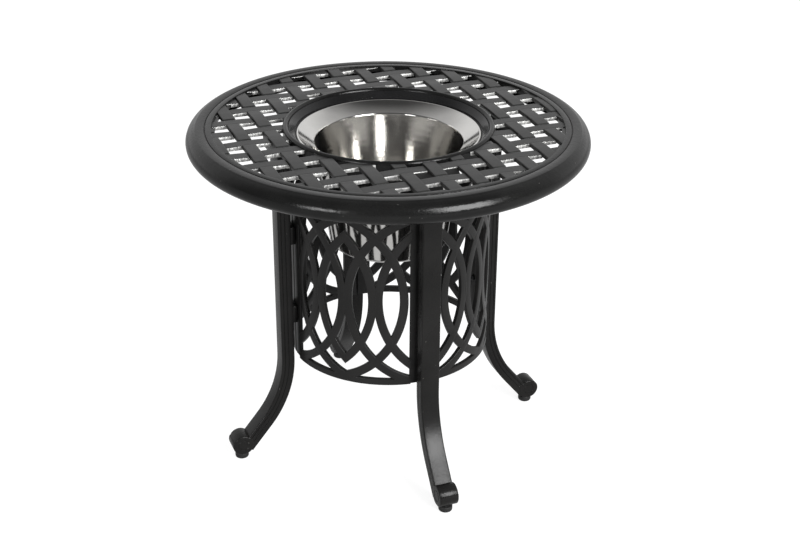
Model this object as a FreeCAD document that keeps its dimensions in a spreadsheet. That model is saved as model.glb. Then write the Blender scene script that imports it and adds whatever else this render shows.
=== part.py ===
import FreeCAD, Part
import Sketcher
import math
import os

# Round patio table of cast aluminium with a woven deck, a hole in the middle that holds a steel
# ice bucket, four curved legs and a pierced skirt round the bucket.
# The origin is on the floor at the table's axis. +Z is up and -Y is the front leg's side.

doc = FreeCAD.newDocument("IceBucketTable")
Vec = FreeCAD.Vector

# Driving sizes, in millimetres and degrees.
SIZES = [
    # deck and rim
    ("deck_height", 496.0, "height of the woven deck's upper face above the floor"),
    ("top_radius", 280.0, "outer radius of the rim"),
    ("rim_shoulder", 18.0, "radius of the rim's upper shoulder"),
    ("rim_round", 13.5, "radius of the rim's rolled underside"),
    ("rim_wall", 5.0, "thickness of the rim's skin"),
    ("rim_rise", 0.8, "how far the rim stands above the deck"),
    ("rim_tuck", 40.0, "angle by which the rolled edge runs in again at its underside"),
    ("band_radius", 244.5, "radius where the weave ends against the rim's flat band"),
    ("band_wall", 7.0, "thickness of the flat band"),
    ("band_seat", 5.0, "how far the band reaches under the weave's ends"),
    ("line_radius", 253.5, "radius of the fine groove round the band"),
    ("line_width", 2.0, "width of the fine groove"),
    ("line_depth", 1.4, "depth of the fine groove"),
    # weave
    ("weave_pitch", 40.6, "distance from one slat to the next"),
    ("slat_width", 18.0, "width of a slat"),
    ("slat_wall", 6.0, "thickness of a slat"),
    ("slat_dive", 1.8, "how far a slat drops before it goes under the next one"),
    ("slat_drop", 0.7, "how far the slats along X lie below those along Y"),
    ("slat_bevel", 1.2, "bevel along a slat's long edges"),
    # ring round the hole
    ("hole_radius", 139.0, "radius of the hole in the deck"),
    ("ring_wall", 8.0, "thickness of the ring round the hole"),
    ("ring_rise", 2.0, "how far the ring's rounded lip stands above the deck"),
    ("ring_depth", 22.0, "how far the ring reaches below the deck"),
    ("ring_ledge", 7.0, "width of the ring's inner ledge"),
    ("ledge_wall", 3.0, "thickness of the ring's inner ledge"),
    # collar that lines the ring
    ("collar_gap", 0.2, "clearance between the collar and the ring"),
    ("collar_drop", 1.6, "how far the collar's upper edge lies below the deck"),
    ("collar_land", 0.8, "width of the flat on the collar's upper edge"),
    ("collar_slope_in", 7.8, "how far the collar's sloped face runs inwards"),
    ("collar_slope_down", 8.0, "how far the collar's sloped face runs down"),
    ("collar_step", 2.8, "height of the small step below the slope"),
    ("collar_tread", 1.7, "width of the small step"),
    ("collar_seat", 4.6, "width of the collar's seat for the bucket"),
    ("collar_seat_wall", 3.8, "thickness of the collar's seat"),
    # bucket
    ("bucket_gap", 0.4, "clearance between the bucket's hem and the collar"),
    ("bucket_lift", 0.3, "gap between the hem and its seat"),
    ("hem_round", 2.0, "radius of the bucket's rolled hem"),
    ("bucket_wall", 1.2, "thickness of the bucket's sheet"),
    ("well_radius", 104.6, "outer radius of the well at its mouth"),
    ("well_drop", 11.2, "how far the sloped flange falls from hem to well"),
    ("bucket_base_radius", 84.6, "outer radius of the bucket's base"),
    ("bucket_depth", 163.0, "height of the bucket from its base to its hem's middle"),
    ("bucket_heel", 6.0, "radius of the bucket's lower corner"),
    # legs
    ("leg_radius", 159.0, "distance from the axis to the upright part of a leg"),
    ("leg_deep", 18.8, "depth of a leg, outwards"),
    ("leg_wide", 27.3, "width of a leg, across"),
    ("leg_edge", 2.0, "bevel on a leg's outer edges"),
    ("leg_inner_edge", 1.0, "bevel on a leg's inner edges"),
    ("leg_groove", 1.4, "width of the grooves along a leg's sides"),
    ("leg_groove_depth", 0.8, "depth of those grooves"),
    ("leg_groove_out", 4.6, "distance from a leg's outer face to its first groove"),
    ("leg_groove_step", 5.6, "distance between a leg's grooves"),
    ("bend_height", 158.5, "height where a leg starts to curve outwards"),
    ("bend_radius", 160.0, "radius of a leg's curve at mid depth"),
    ("bend_angle", 39.2, "angle of a leg's lower part from the upright"),
    ("tail_length", 47.3, "length of the straight part below the curve"),
    ("toe_radius", 15.8, "radius of the rolled toe"),
    ("toe_inset", 2.0, "how far the toe's skin stays behind the leg's underside"),
    ("toe_ring", 8.0, "radius of the curl line on the toe's sides"),
    ("toe_line", 1.0, "half width of the curl line"),
    ("toe_flat", 12.0, "height of the flat on the toe's underside"),
    ("flange_long", 66.0, "length of the leg's upper flange, across"),
    ("flange_deep", 19.0, "depth of the leg's upper flange"),
    ("flange_wall", 8.0, "thickness of the leg's upper flange"),
    ("flange_shift", 2.0, "how far the flange's bolts lie outside the leg's middle"),
    ("pad_wall", 10.0, "depth of the cast pad below the slats"),
    ("pad_edge", 1.0, "how far the cast pad stands out past the flange"),
    ("boss_half", 13.0, "half width and half height of a leg's boss"),
    ("boss_low", 229.0, "height of the lower boss"),
    ("boss_high", 352.5, "height of the upper boss"),
    ("boss_gap", 0.1, "clearance between a boss and the skirt's end bar"),
    # skirt panels
    ("skirt_radius", 145.5, "outer radius of the skirt"),
    ("skirt_wall", 6.0, "thickness of the skirt"),
    ("skirt_low", 160.7, "height of the skirt's lower edge"),
    ("skirt_high", 420.8, "height of the skirt's upper edge"),
    ("skirt_band", 9.5, "height of the skirt's lower and upper bands"),
    ("lens_pitch", 44.2, "distance from one pointed oval to the next, round the skirt"),
    ("lens_half", 18.0, "half width of a pointed oval at mid height"),
    ("strand_radius", 130.0, "radius of the crossing arcs"),
    ("strand_width", 12.0, "width of the crossing arcs"),
    ("end_bar", 20.5, "width of a panel's end bar"),
    ("end_recess", 2.7, "how far the end bar lies behind the arcs"),
    ("panel_gap", 2.0, "gap between two panels behind a leg"),
    # fasteners
    ("skirt_screw", 5.0, "diameter of the screws that hold the skirt"),
    ("skirt_screw_side", 7.5, "distance from the leg's middle to a skirt screw"),
    ("skirt_screw_head", 9.0, "diameter of those screws' heads"),
    ("skirt_screw_cap", 3.2, "height of those screws' heads"),
    ("skirt_screw_key", 3.0, "width across flats of the key hole in those heads"),
    ("skirt_screw_long", 18.0, "length of those screws under the head"),
    ("leg_bolt", 6.0, "diameter of the bolts that hold a leg"),
    ("leg_bolt_side", 24.0, "distance from the leg's middle to a leg bolt"),
    ("leg_bolt_head", 10.0, "width across flats of the bolt's head"),
    ("leg_bolt_cap", 4.0, "height of the bolt's head"),
    ("leg_bolt_long", 17.0, "length of the bolt under the head"),
    ("washer_radius", 6.2, "radius of a bolt's washer"),
    ("washer_wall", 1.2, "thickness of a bolt's washer"),
    ("hole_gap", 0.3, "clearance round a screw in a plain hole"),
    ("thread_gap", 0.05, "clearance round a screw in its threaded hole"),
    ("hole_spare", 2.0, "length of a blind hole past the screw's end"),
    # levelling glides
    ("glide_radius", 10.0, "radius of a glide pad"),
    ("glide_high", 8.6, "height of a glide pad up to its shoulder"),
    ("glide_dome", 3.0, "how far the pad's lower edge is rounded in"),
    ("glide_neck", 5.6, "radius of the pad's neck"),
    ("glide_seat", 0.3, "gap between the pad's neck and the toe"),
    ("stud_radius", 4.0, "radius of the glide's threaded stud"),
    ("stud_long", 27.0, "length of the stud"),
    ("stud_foot", 3.6, "height of the stud's lower end"),
]
sheet = doc.addObject("Spreadsheet::Sheet", "Sizes")
for row, (name, value, words) in enumerate(SIZES, start=1):
    sheet.set("A%d" % row, words)
    sheet.set("B%d" % row, str(value))
    sheet.setAlias("B%d" % row, name)
doc.recompute()


class Size:
    """A number together with the formula that gives it from the sheet."""

    def __init__(self, value, text):
        self.value = float(value)
        self.text = text

    def __add__(self, other):
        other = as_size(other)
        return Size(self.value + other.value, "(%s + %s)" % (self.text, other.text))

    def __radd__(self, other):
        return as_size(other) + self

    def __sub__(self, other):
        other = as_size(other)
        return Size(self.value - other.value, "(%s - %s)" % (self.text, other.text))

    def __rsub__(self, other):
        return as_size(other) - self

    def __mul__(self, other):
        other = as_size(other)
        return Size(self.value * other.value, "(%s * %s)" % (self.text, other.text))

    def __rmul__(self, other):
        return as_size(other) * self

    def __truediv__(self, other):
        other = as_size(other)
        return Size(self.value / other.value, "(%s / %s)" % (self.text, other.text))

    def __neg__(self):
        return Size(-self.value, "(0 - %s)" % self.text)


def as_size(number):
    if isinstance(number, Size):
        return number
    return Size(number, repr(float(number)))


def size(name):
    return Size(sheet.get(name), "Sizes." + name)


def sine(angle):
    return Size(math.sin(math.radians(angle.value)), "sin(%s)" % angle.text)


def cosine(angle):
    return Size(math.cos(math.radians(angle.value)), "cos(%s)" % angle.text)


S = {name: size(name) for name, value, words in SIZES}
N = {name: S[name].value for name in S}


def bind(thing, **values):
    """Tie properties to the sheet; a double underscore stands for a dot."""
    for path, value in values.items():
        thing.setExpression(path.replace("__", "."), as_size(value).text)


def put(thing, x=0.0, y=0.0, z=0.0, axis=None, turn=0.0):
    """Place a primitive, with its position tied to the sheet."""
    x, y, z = as_size(x), as_size(y), as_size(z)
    spin = FreeCAD.Rotation(axis or Vec(0, 0, 1), turn)
    thing.Placement = FreeCAD.Placement(Vec(x.value, y.value, z.value), spin)
    bind(thing, Placement__Base__x=x, Placement__Base__y=y, Placement__Base__z=z)


def plane_of(body, role):
    return [f for f in body.Origin.OriginFeatures if f.Role == role][0]


def outline(body, name, role, points, closed=True, lift=None):
    """Sketch of lines and arcs through points. A point is (x, y), or (x, y, radius) when the
    piece that leaves it is an arc: a positive radius turns left, a negative one turns right."""
    sketch = body.newObject("Sketcher::SketchObject", name)
    sketch.AttachmentSupport = (plane_of(body, role), [""])
    sketch.MapMode = "FlatFace"
    if lift is not None:
        bind(sketch, AttachmentOffset__Base__z=lift)
    pts = [(as_size(p[0]), as_size(p[1])) for p in points]
    bows = [as_size(p[2]) if len(p) > 2 else None for p in points]
    count = len(pts) if closed else len(pts) - 1
    ends = []
    for i in range(count):
        a = Vec(pts[i][0].value, pts[i][1].value, 0)
        b = Vec(pts[(i + 1) % len(pts)][0].value, pts[(i + 1) % len(pts)][1].value, 0)
        bow = bows[i]
        if bow is None:
            sketch.addGeometry(Part.LineSegment(a, b), False)
            ends.append((1, 2))
            continue
        radius = abs(bow.value)
        left = bow.value > 0
        chord = b.sub(a)
        half = chord.Length / 2
        side = Vec(-chord.y, chord.x, 0).normalize()
        reach = math.sqrt(max(radius * radius - half * half, 0.0))
        middle = a.add(b).multiply(0.5).add(side.multiply(reach if left else -reach))
        first, last = (a, b) if left else (b, a)
        start = math.atan2(first.y - middle.y, first.x - middle.x)
        stop = math.atan2(last.y - middle.y, last.x - middle.x)
        if stop <= start:
            stop += 2 * math.pi
        circle = Part.Circle(middle, Vec(0, 0, 1), radius)
        sketch.addGeometry(Part.ArcOfCircle(circle, start, stop), False)
        ends.append((1, 2) if left else (2, 1))
    rules = []
    ties = []
    for i in range(count):
        if closed or i < count - 1:
            after = (i + 1) % count
            rules.append(Sketcher.Constraint("Coincident", i, ends[i][1], after, ends[after][0]))
            ties.append(None)
    places = [(i, ends[i][0], pts[i]) for i in range(count)]
    if not closed:
        places.append((count - 1, ends[count - 1][1], pts[count]))
    for geo, pos, (x, y) in places:
        for kind, value, axis in (("DistanceX", x, -2), ("DistanceY", y, -1)):
            if abs(value.value) < 1e-9:
                rules.append(Sketcher.Constraint("PointOnObject", geo, pos, axis))
                ties.append(None)
            else:
                rules.append(Sketcher.Constraint(kind, geo, pos, value.value))
                ties.append(value)
    for i in range(count):
        if bows[i] is not None:
            rules.append(Sketcher.Constraint("Radius", i, abs(bows[i].value)))
            ties.append(bows[i] if bows[i].value > 0 else -bows[i])
    sketch.addConstraint(rules)
    for index, value in enumerate(ties):
        if value is not None:
            sketch.setExpression("Constraints[%d]" % index, value.text)
    return sketch


def revolve(body, name, sketch):
    ring = body.newObject("PartDesign::Revolution", name)
    ring.Profile = sketch
    ring.ReferenceAxis = (sketch, ["V_Axis"])
    ring.Angle = 360
    return ring


def new_body(label):
    body = doc.addObject("PartDesign::Body", label)
    body.Label = label
    return body


nodes = []

# Table top: rolled rim, flat band and the ring round the hole, all turned about the axis.
deck = S["deck_height"]
rim_top = deck + S["rim_rise"]
rim_mid = S["top_radius"] - S["rim_shoulder"]
roll_mid = S["top_radius"] - S["rim_round"]
rim_body = new_body("rim")
line_in = S["line_radius"] - S["line_width"] / 2
line_out = S["line_radius"] + S["line_width"] / 2
band_under = deck - S["band_wall"]
shoulder_inner = S["rim_shoulder"] - S["rim_wall"]
rim_inner = S["rim_round"] - S["rim_wall"]
rim_axis = rim_top - S["rim_shoulder"]
tip_in = roll_mid - S["rim_round"] * sine(S["rim_tuck"])
tip_down = rim_axis - S["rim_round"] * cosine(S["rim_tuck"])
tip_in2 = roll_mid - rim_inner * sine(S["rim_tuck"])
tip_down2 = rim_axis - rim_inner * cosine(S["rim_tuck"])
rim_points = [
    (S["band_radius"] - S["band_seat"], band_under),
    (rim_mid, band_under),
    (rim_mid, rim_axis + shoulder_inner, -shoulder_inner),
    (roll_mid + rim_inner, rim_axis, -rim_inner),
    (tip_in2, tip_down2),
    (tip_in, tip_down, S["rim_round"]),
    (S["top_radius"], rim_axis, S["rim_shoulder"]),
    (rim_mid, rim_top),
    (line_out, rim_top),
    (S["line_radius"], rim_top - S["line_depth"]),
    (line_in, rim_top),
    (S["band_radius"], rim_top),
    (S["band_radius"], deck - S["slat_wall"] / 2),
    (S["band_radius"] - S["band_seat"], deck - S["slat_wall"] / 2),
]
revolve(rim_body, "rim_turned", outline(rim_body, "rim_outline", "XZ_Plane", rim_points))

ring_body = new_body("ring")
ring_out = S["hole_radius"] + S["ring_wall"]
lip_round = S["ring_wall"] / 2
lip_base = deck + S["ring_rise"] - lip_round
ring_under = deck - S["ring_depth"]
ledge_top = ring_under + S["ledge_wall"]
ring_points = [
    (S["hole_radius"] - S["ring_ledge"], ring_under),
    (ring_out, ring_under),
    (ring_out, lip_base, lip_round),
    (ring_out - lip_round, deck + S["ring_rise"], lip_round),
    (S["hole_radius"], lip_base),
    (S["hole_radius"], ledge_top),
    (S["hole_radius"] - S["ring_ledge"], ledge_top),
]
revolve(ring_body, "ring_turned", outline(ring_body, "ring_outline", "XZ_Plane", ring_points))

# Woven deck. A slat along Y lies on top where the column and row numbers add up to an even
# number, and a slat along X elsewhere. Each visible plate runs from one crossing slat to the
# next, level over its own crossing and sloping down towards both ends.
pitch = N["weave_pitch"]
half_width = N["slat_width"] / 2
half_plate = pitch - half_width
weave_under = N["deck_height"] - N["slat_wall"]
weave_in = N["hole_radius"] + N["ring_wall"] / 2
weave_out = N["band_radius"]


def plate(top):
    """One plate of the weave along Y, centred on its crossing."""
    side = [
        Vec(0, -half_plate, weave_under),
        Vec(0, -half_plate, top - N["slat_dive"]),
        Vec(0, -half_width, top),
        Vec(0, half_width, top),
        Vec(0, half_plate, top - N["slat_dive"]),
        Vec(0, half_plate, weave_under),
    ]
    face = Part.Face(Part.makePolygon(side + side[:1]))
    face.translate(Vec(-half_width, 0, 0))
    long_part = face.extrude(Vec(2 * half_width, 0, 0))
    bevel = N["slat_bevel"]
    cross = [
        Vec(-half_width, 0, weave_under - 1),
        Vec(-half_width, 0, top - bevel),
        Vec(-half_width + bevel, 0, top + 0.001),
        Vec(half_width - bevel, 0, top + 0.001),
        Vec(half_width, 0, top - bevel),
        Vec(half_width, 0, weave_under - 1),
    ]
    face = Part.Face(Part.makePolygon(cross + cross[:1]))
    face.translate(Vec(0, -half_plate - 1, 0))
    return long_part.common(face.extrude(Vec(0, 2 * half_plate + 2, 0)))


plate_y = plate(N["deck_height"])
plate_x = plate(N["deck_height"] - N["slat_drop"])
plate_x.rotate(Vec(0, 0, 0), Vec(0, 0, 1), 90)
disc = Part.makeCylinder(weave_out + 0.5, 40, Vec(0, 0, weave_under - 10))
disc = disc.cut(Part.makeCylinder(weave_in, 40, Vec(0, 0, weave_under - 10)))
reach = int(weave_out / pitch) + 2
plates = []
for column in range(-reach, reach + 1):
    for row in range(-reach, reach + 1):
        even = (column + row) % 2 == 0
        span_x = half_width if even else half_plate
        span_y = half_plate if even else half_width
        x, y = column * pitch, row * pitch
        near = math.hypot(max(abs(x) - span_x, 0), max(abs(y) - span_y, 0))
        far = math.hypot(abs(x) + span_x, abs(y) + span_y)
        if near > weave_out - 0.5 or far < weave_in + 0.5:
            continue
        piece = (plate_y if even else plate_x).copy()
        piece.translate(Vec(x, y, 0))
        if far > weave_out or near < weave_in:
            piece = piece.common(disc)
        plates.extend(piece.Solids)
weave = doc.addObject("Part::Feature", "weave")
weave.Shape = plates[0].multiFuse(plates[1:])

# Cast pads under the slats, one over each leg, with blind holes for the leg bolts.
pad_under = deck - S["slat_wall"] - S["pad_wall"]
flange_out = S["leg_radius"] + S["flange_shift"]
flange_in = flange_out - S["flange_deep"] / 2
pads = []
holes = []
for index in range(4):
    pad = doc.addObject("Part::Box", "pad_%d" % index)
    long_side = S["flange_long"] + 2 * S["pad_edge"]
    deep_side = S["flange_deep"] + 2 * S["pad_edge"]
    thick = S["pad_wall"] + 0.5 * S["slat_wall"]
    near_side = flange_in - S["pad_edge"]
    spin = index * 90.0
    bind(pad, Height=thick, Length=deep_side, Width=long_side)
    turn = FreeCAD.Rotation(Vec(0, 0, 1), spin)
    corner = turn.multVec(Vec(near_side.value, -long_side.value / 2, pad_under.value))
    pad.Placement = FreeCAD.Placement(corner, turn)
    c, s = round(math.cos(math.radians(spin))), round(math.sin(math.radians(spin)))
    bind(pad, Placement__Base__x=near_side * c + long_side / 2 * s,
         Placement__Base__y=near_side * s - long_side / 2 * c, Placement__Base__z=pad_under)
    pads.append(pad)
    for side in (-1, 1):
        hole = doc.addObject("Part::Cylinder", "pad_hole_%d_%d" % (index, side + 1))
        out, across = flange_out, S["leg_bolt_side"] * side
        bind(hole, Radius=S["leg_bolt"] / 2 + S["thread_gap"],
             Height=S["leg_bolt_long"] - S["flange_wall"] - S["washer_wall"] + S["hole_spare"])
        bind(hole, Placement__Base__x=out * c - across * s,
             Placement__Base__y=out * s + across * c, Placement__Base__z=pad_under)
        holes.append(hole)
doc.recompute()
top_fuse = doc.addObject("Part::MultiFuse", "top_casting")
top_fuse.Shapes = [weave, rim_body, ring_body] + pads
top_holes = doc.addObject("Part::Compound", "top_holes")
top_holes.Links = holes
table_top = doc.addObject("Part::Cut", "table_top")
table_top.Base = top_fuse
table_top.Tool = top_holes
table_top.Label = "table_top"
nodes.append(table_top)

# Collar: black lining of the ring, sloped inwards, with the bucket's seat at its foot.
collar = new_body("bucket_collar")
collar_out = S["hole_radius"] - S["collar_gap"]
collar_top = deck - S["collar_drop"]
slope_in = collar_out - S["collar_slope_in"]
slope_low = collar_top - S["collar_slope_down"]
step_low = slope_low - S["collar_step"]
step_in = slope_in - S["collar_tread"]
seat_top = ledge_top + S["collar_seat_wall"]
seat_in = step_in - S["collar_seat"]
collar_points = [
    (seat_in, ledge_top),
    (collar_out, ledge_top),
    (collar_out, collar_top),
    (collar_out - S["collar_land"], collar_top),
    (slope_in, slope_low),
    (slope_in, step_low),
    (step_in, step_low),
    (step_in, seat_top),
    (seat_in, seat_top),
]
revolve(collar, "collar_turned", outline(collar, "collar_outline", "XZ_Plane", collar_points))
nodes.append(collar)

# Steel bucket: rolled hem, sloped flange, tapered well with a rounded lower corner.
bucket = new_body("ice_bucket")
hem_out = step_in - S["bucket_gap"]
hem_mid = hem_out - S["hem_round"]
hem_high = seat_top + S["bucket_lift"] + S["hem_round"]
base_low = hem_high - S["bucket_depth"]
well_high = hem_high - S["well_drop"]
wall = S["bucket_wall"]
heel = S["bucket_heel"]
bucket_points = [
    (0, base_low),
    (S["bucket_base_radius"] - heel, base_low, heel),
    (S["bucket_base_radius"], base_low + heel),
    (S["well_radius"], well_high - wall),
    (hem_mid, hem_high - wall / 2),
    (hem_mid, hem_high + wall / 2),
    (S["well_radius"] - wall, well_high),
    (S["bucket_base_radius"] - wall, base_low + heel, -(heel - wall)),
    (S["bucket_base_radius"] - heel, base_low + wall),
    (0, base_low + wall),
]
revolve(bucket, "bucket_turned", outline(bucket, "bucket_outline", "XZ_Plane", bucket_points))
hem = bucket.newObject("PartDesign::AdditiveTorus", "bucket_hem")
bind(hem, Radius1=hem_mid, Radius2=S["hem_round"])
put(hem, z=hem_high)
nodes.append(bucket)

# Legs: a grooved bar that runs down, curves outwards and ends in a rolled toe.
leg_top = pad_under
lean = S["bend_angle"]
inner = S["leg_radius"] - S["leg_deep"] / 2
outer = S["leg_radius"] + S["leg_deep"] / 2
half = S["leg_wide"] / 2
groove_a = outer - S["leg_groove_out"]
groove_b = groove_a - S["leg_groove_step"]
gw = S["leg_groove"] / 2
gd = S["leg_groove_depth"]
bend_end_r = S["leg_radius"] + S["bend_radius"] * (1 - cosine(lean))
bend_end_z = S["bend_height"] - S["bend_radius"] * sine(lean)
tail_r = bend_end_r + S["tail_length"] * sine(lean)
tail_z = bend_end_z - S["tail_length"] * cosine(lean)
toe_off = S["toe_radius"] + S["toe_inset"] - S["leg_deep"] / 2
toe_r = tail_r + toe_off * cosine(lean)
toe_z = tail_z + toe_off * sine(lean)
section = [
    (inner + S["leg_inner_edge"], -half),
    (groove_b - gw, -half),
    (groove_b - gw, gd - half),
    (groove_b + gw, gd - half),
    (groove_b + gw, -half),
    (groove_a - gw, -half),
    (groove_a - gw, gd - half),
    (groove_a + gw, gd - half),
    (groove_a + gw, -half),
    (outer - S["leg_edge"], -half),
    (outer, S["leg_edge"] - half),
]
section = section + [(x, -y) for x, y in reversed(section)]
section.append((inner, half - S["leg_inner_edge"]))
section.append((inner, S["leg_inner_edge"] - half))
spine_points = [
    (S["leg_radius"], leg_top),
    (S["leg_radius"], S["bend_height"], S["bend_radius"]),
    (bend_end_r, bend_end_z),
    (tail_r, tail_z),
]
boss_face = S["skirt_radius"] - S["end_recess"] + S["boss_gap"]


def make_leg(label, angle):
    leg = new_body(label)
    profile = outline(leg, label + "_section", "XY_Plane", section, lift=leg_top)
    spine = outline(leg, label + "_spine", "XZ_Plane", spine_points, closed=False)
    bar = leg.newObject("PartDesign::AdditivePipe", label + "_bar")
    bar.Profile = profile
    bar.Spine = (spine, ["Edge1", "Edge2", "Edge3"])
    toe = leg.newObject("PartDesign::AdditiveCylinder", label + "_toe")
    bind(toe, Radius=S["toe_radius"], Height=S["leg_wide"])
    put(toe, toe_r, half, toe_z, Vec(1, 0, 0), 90)
    flange = leg.newObject("PartDesign::AdditiveBox", label + "_flange")
    bind(flange, Length=S["flange_deep"], Width=S["flange_long"], Height=S["flange_wall"])
    put(flange, flange_in, -S["flange_long"] / 2, leg_top - S["flange_wall"])
    for name, height in (("low", S["boss_low"]), ("high", S["boss_high"])):
        boss = leg.newObject("PartDesign::AdditiveBox", label + "_boss_" + name)
        bind(boss, Length=inner + 1.5 - boss_face, Width=2 * S["boss_half"], Height=2 * S["boss_half"])
        put(boss, boss_face, -S["boss_half"], height - S["boss_half"])
    for side in (-1, 1):
        curl = leg.newObject("PartDesign::SubtractiveTorus", label + "_curl_%d" % (side + 1))
        bind(curl, Radius1=S["toe_ring"], Radius2=S["toe_line"])
        put(curl, toe_r, half * side, toe_z, Vec(1, 0, 0), 90)
    flat = leg.newObject("PartDesign::SubtractiveBox", label + "_flat")
    bind(flat, Length=2 * S["toe_radius"], Width=S["leg_wide"] + 4, Height=S["toe_flat"])
    put(flat, toe_r - S["toe_radius"], -half - 2, 0)
    bore = leg.newObject("PartDesign::SubtractiveCylinder", label + "_bore")
    bind(bore, Radius=S["stud_radius"] + S["thread_gap"],
         Height=S["stud_foot"] + S["stud_long"] + S["hole_spare"] - S["toe_flat"] + 1)
    put(bore, toe_r, 0, S["toe_flat"] - 1)
    for side in (-1, 1):
        hole = leg.newObject("PartDesign::SubtractiveCylinder", label + "_bolt_hole_%d" % (side + 1))
        bind(hole, Radius=S["leg_bolt"] / 2 + S["hole_gap"], Height=S["flange_wall"] + 2)
        put(hole, flange_out, S["leg_bolt_side"] * side, leg_top - S["flange_wall"] - 1)
        for name, height in (("low", S["boss_low"]), ("high", S["boss_high"])):
            hole = leg.newObject("PartDesign::SubtractiveCylinder",
                                 label + "_screw_hole_%s_%d" % (name, side + 1))
            bind(hole, Radius=S["skirt_screw"] / 2 + S["thread_gap"],
                 Height=S["skirt_screw_long"] - S["skirt_wall"] + S["end_recess"] + S["hole_spare"] + 1)
            put(hole, boss_face - 1, S["skirt_screw_side"] * side, height, Vec(0, 1, 0), 90)
    leg.Placement = FreeCAD.Placement(Vec(0, 0, 0), FreeCAD.Rotation(Vec(0, 0, 1), angle))
    return leg


LEGS = [("right", 0.0), ("back", 90.0), ("left", 180.0), ("front", -90.0)]
for place, angle in LEGS:
    nodes.append(make_leg("leg_" + place, angle))

# Skirt: four quarter shells pierced between crossing arcs. The pattern is laid out flat, with x
# round the skirt and y up, and each opening is then cut straight through the shell.
skirt_r = N["skirt_radius"]
skirt_in = skirt_r - N["skirt_wall"]
bar_r = skirt_r - N["end_recess"]
quarter = skirt_r * math.pi / 2
panel_half = quarter / 2 - N["panel_gap"] / 2
field_half = quarter / 2 - N["end_bar"]
mid_z = (N["skirt_low"] + N["skirt_high"]) / 2


def rectangle(x0, x1, y0, y1):
    corners = [Vec(x0, y0, 0), Vec(x1, y0, 0), Vec(x1, y1, 0), Vec(x0, y1, 0)]
    return Part.Face(Part.makePolygon(corners + corners[:1]))


def hoop(middle):
    """Flat ring whose arc is one strand of the pattern."""
    spot = Vec(middle, mid_z, 0)
    up = Vec(0, 0, 1)
    radius = N["strand_radius"]
    outside = Part.Face(Part.Wire(Part.makeCircle(radius + N["strand_width"] / 2, spot, up)))
    inside = Part.Face(Part.Wire(Part.makeCircle(radius - N["strand_width"] / 2, spot, up)))
    return outside.cut(inside)


field = rectangle(-field_half, field_half, N["skirt_low"] + N["skirt_band"],
                  N["skirt_high"] - N["skirt_band"])
strands = []
centre = N["strand_radius"] - N["lens_half"]
tall = 2 * N["skirt_high"]
for step in (-1.5, -0.5, 0.5, 1.5):
    lens = step * N["lens_pitch"]
    for side in (-1, 1):
        # the arc that bulges to one side has its centre on the other side, and the outer arcs of
        # the two middle ovals stop at the panel's middle
        ring = hoop(lens - side * centre)
        stops = abs(step) < 1 and step * side > 0
        beyond = 0.0 if stops else lens - side * 1.5 * N["strand_radius"]
        for end in (lens + side * quarter, beyond):
            strands.append(ring.common(rectangle(min(lens, end), max(lens, end), 0, tall)))
openings = field.cut(strands)


def bent(point, middle):
    """A point of the flat pattern, seen straight on at the middle of its own opening."""
    return Vec(skirt_r * math.sin((point.x - middle) / skirt_r), 0, point.y)


cutters = []
for face in openings.Faces:
    if face.Area < 8.0:
        continue
    box = face.BoundBox
    middle = (box.XMin + box.XMax) / 2
    edges = []
    for edge in face.OuterWire.OrderedEdges:
        a, b = edge.FirstParameter, edge.LastParameter
        first, third, last = [bent(edge.valueAt(t), middle) for t in (a, (a + b) / 2, b)]
        straight = first.add(last).multiply(0.5)
        if third.sub(straight).Length < 0.01:
            edges.append(Part.makeLine(first, last))
        else:
            edges.append(Part.Arc(first, third, last).toShape())
    wire = Part.Wire(Part.__sortEdges__(edges))
    opening = Part.Face(wire)
    opening.translate(Vec(0, skirt_in - 8, 0))
    cutter = opening.extrude(Vec(0, N["skirt_wall"] + 12, 0))
    # the flat pattern's x runs to the left of an outward look, so the angle is turned back
    cutter.rotate(Vec(0, 0, 0), Vec(0, 0, 1), -90 - math.degrees(middle / skirt_r) + 90)
    cutters.append(cutter)


def sector(radius_in, radius_out, low, high, from_x, to_x):
    """Part of a round shell; its ends are given as lengths round the skirt."""
    span = math.degrees((to_x - from_x) / skirt_r)
    axis = Vec(0, 0, 1)
    big = Part.makeCylinder(radius_out, high - low, Vec(0, 0, low), axis, span)
    small = Part.makeCylinder(radius_in, high - low + 2, Vec(0, 0, low - 1), axis, 360)
    shell = big.cut(small)
    shell.rotate(Vec(0, 0, 0), axis, 90 + math.degrees(from_x / skirt_r))
    return shell


low, high = N["skirt_low"], N["skirt_high"]
shell = sector(skirt_in, skirt_r, low, high, -field_half, field_half)
ends = [sector(skirt_in, bar_r, low, high, -panel_half, -field_half + 1),
        sector(skirt_in, bar_r, low, high, field_half - 1, panel_half)]
panel = shell.fuse(ends).removeSplitter()
panel = panel.cut(Part.makeCompound(cutters))
drills = []
for side in (-1, 1):
    for height in (N["boss_low"], N["boss_high"]):
        turn = 90 + side * 45
        spot = Vec(skirt_in - 5, -side * N["skirt_screw_side"], height)
        drill = Part.makeCylinder(N["skirt_screw"] / 2 + N["hole_gap"], 20, spot, Vec(1, 0, 0))
        drill.rotate(Vec(0, 0, 0), Vec(0, 0, 1), turn)
        drills.append(drill)
panel = panel.cut(Part.makeCompound(drills))
PANELS = [("back_right", -45.0), ("back_left", 45.0), ("front_left", 135.0), ("front_right", -135.0)]
for place, angle in PANELS:
    skirt = doc.addObject("Part::Feature", "skirt_" + place)
    skirt.Label = "skirt_" + place
    skirt.Shape = panel.copy()
    skirt.Placement = FreeCAD.Placement(Vec(0, 0, 0), FreeCAD.Rotation(Vec(0, 0, 1), angle))
    nodes.append(skirt)


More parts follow.
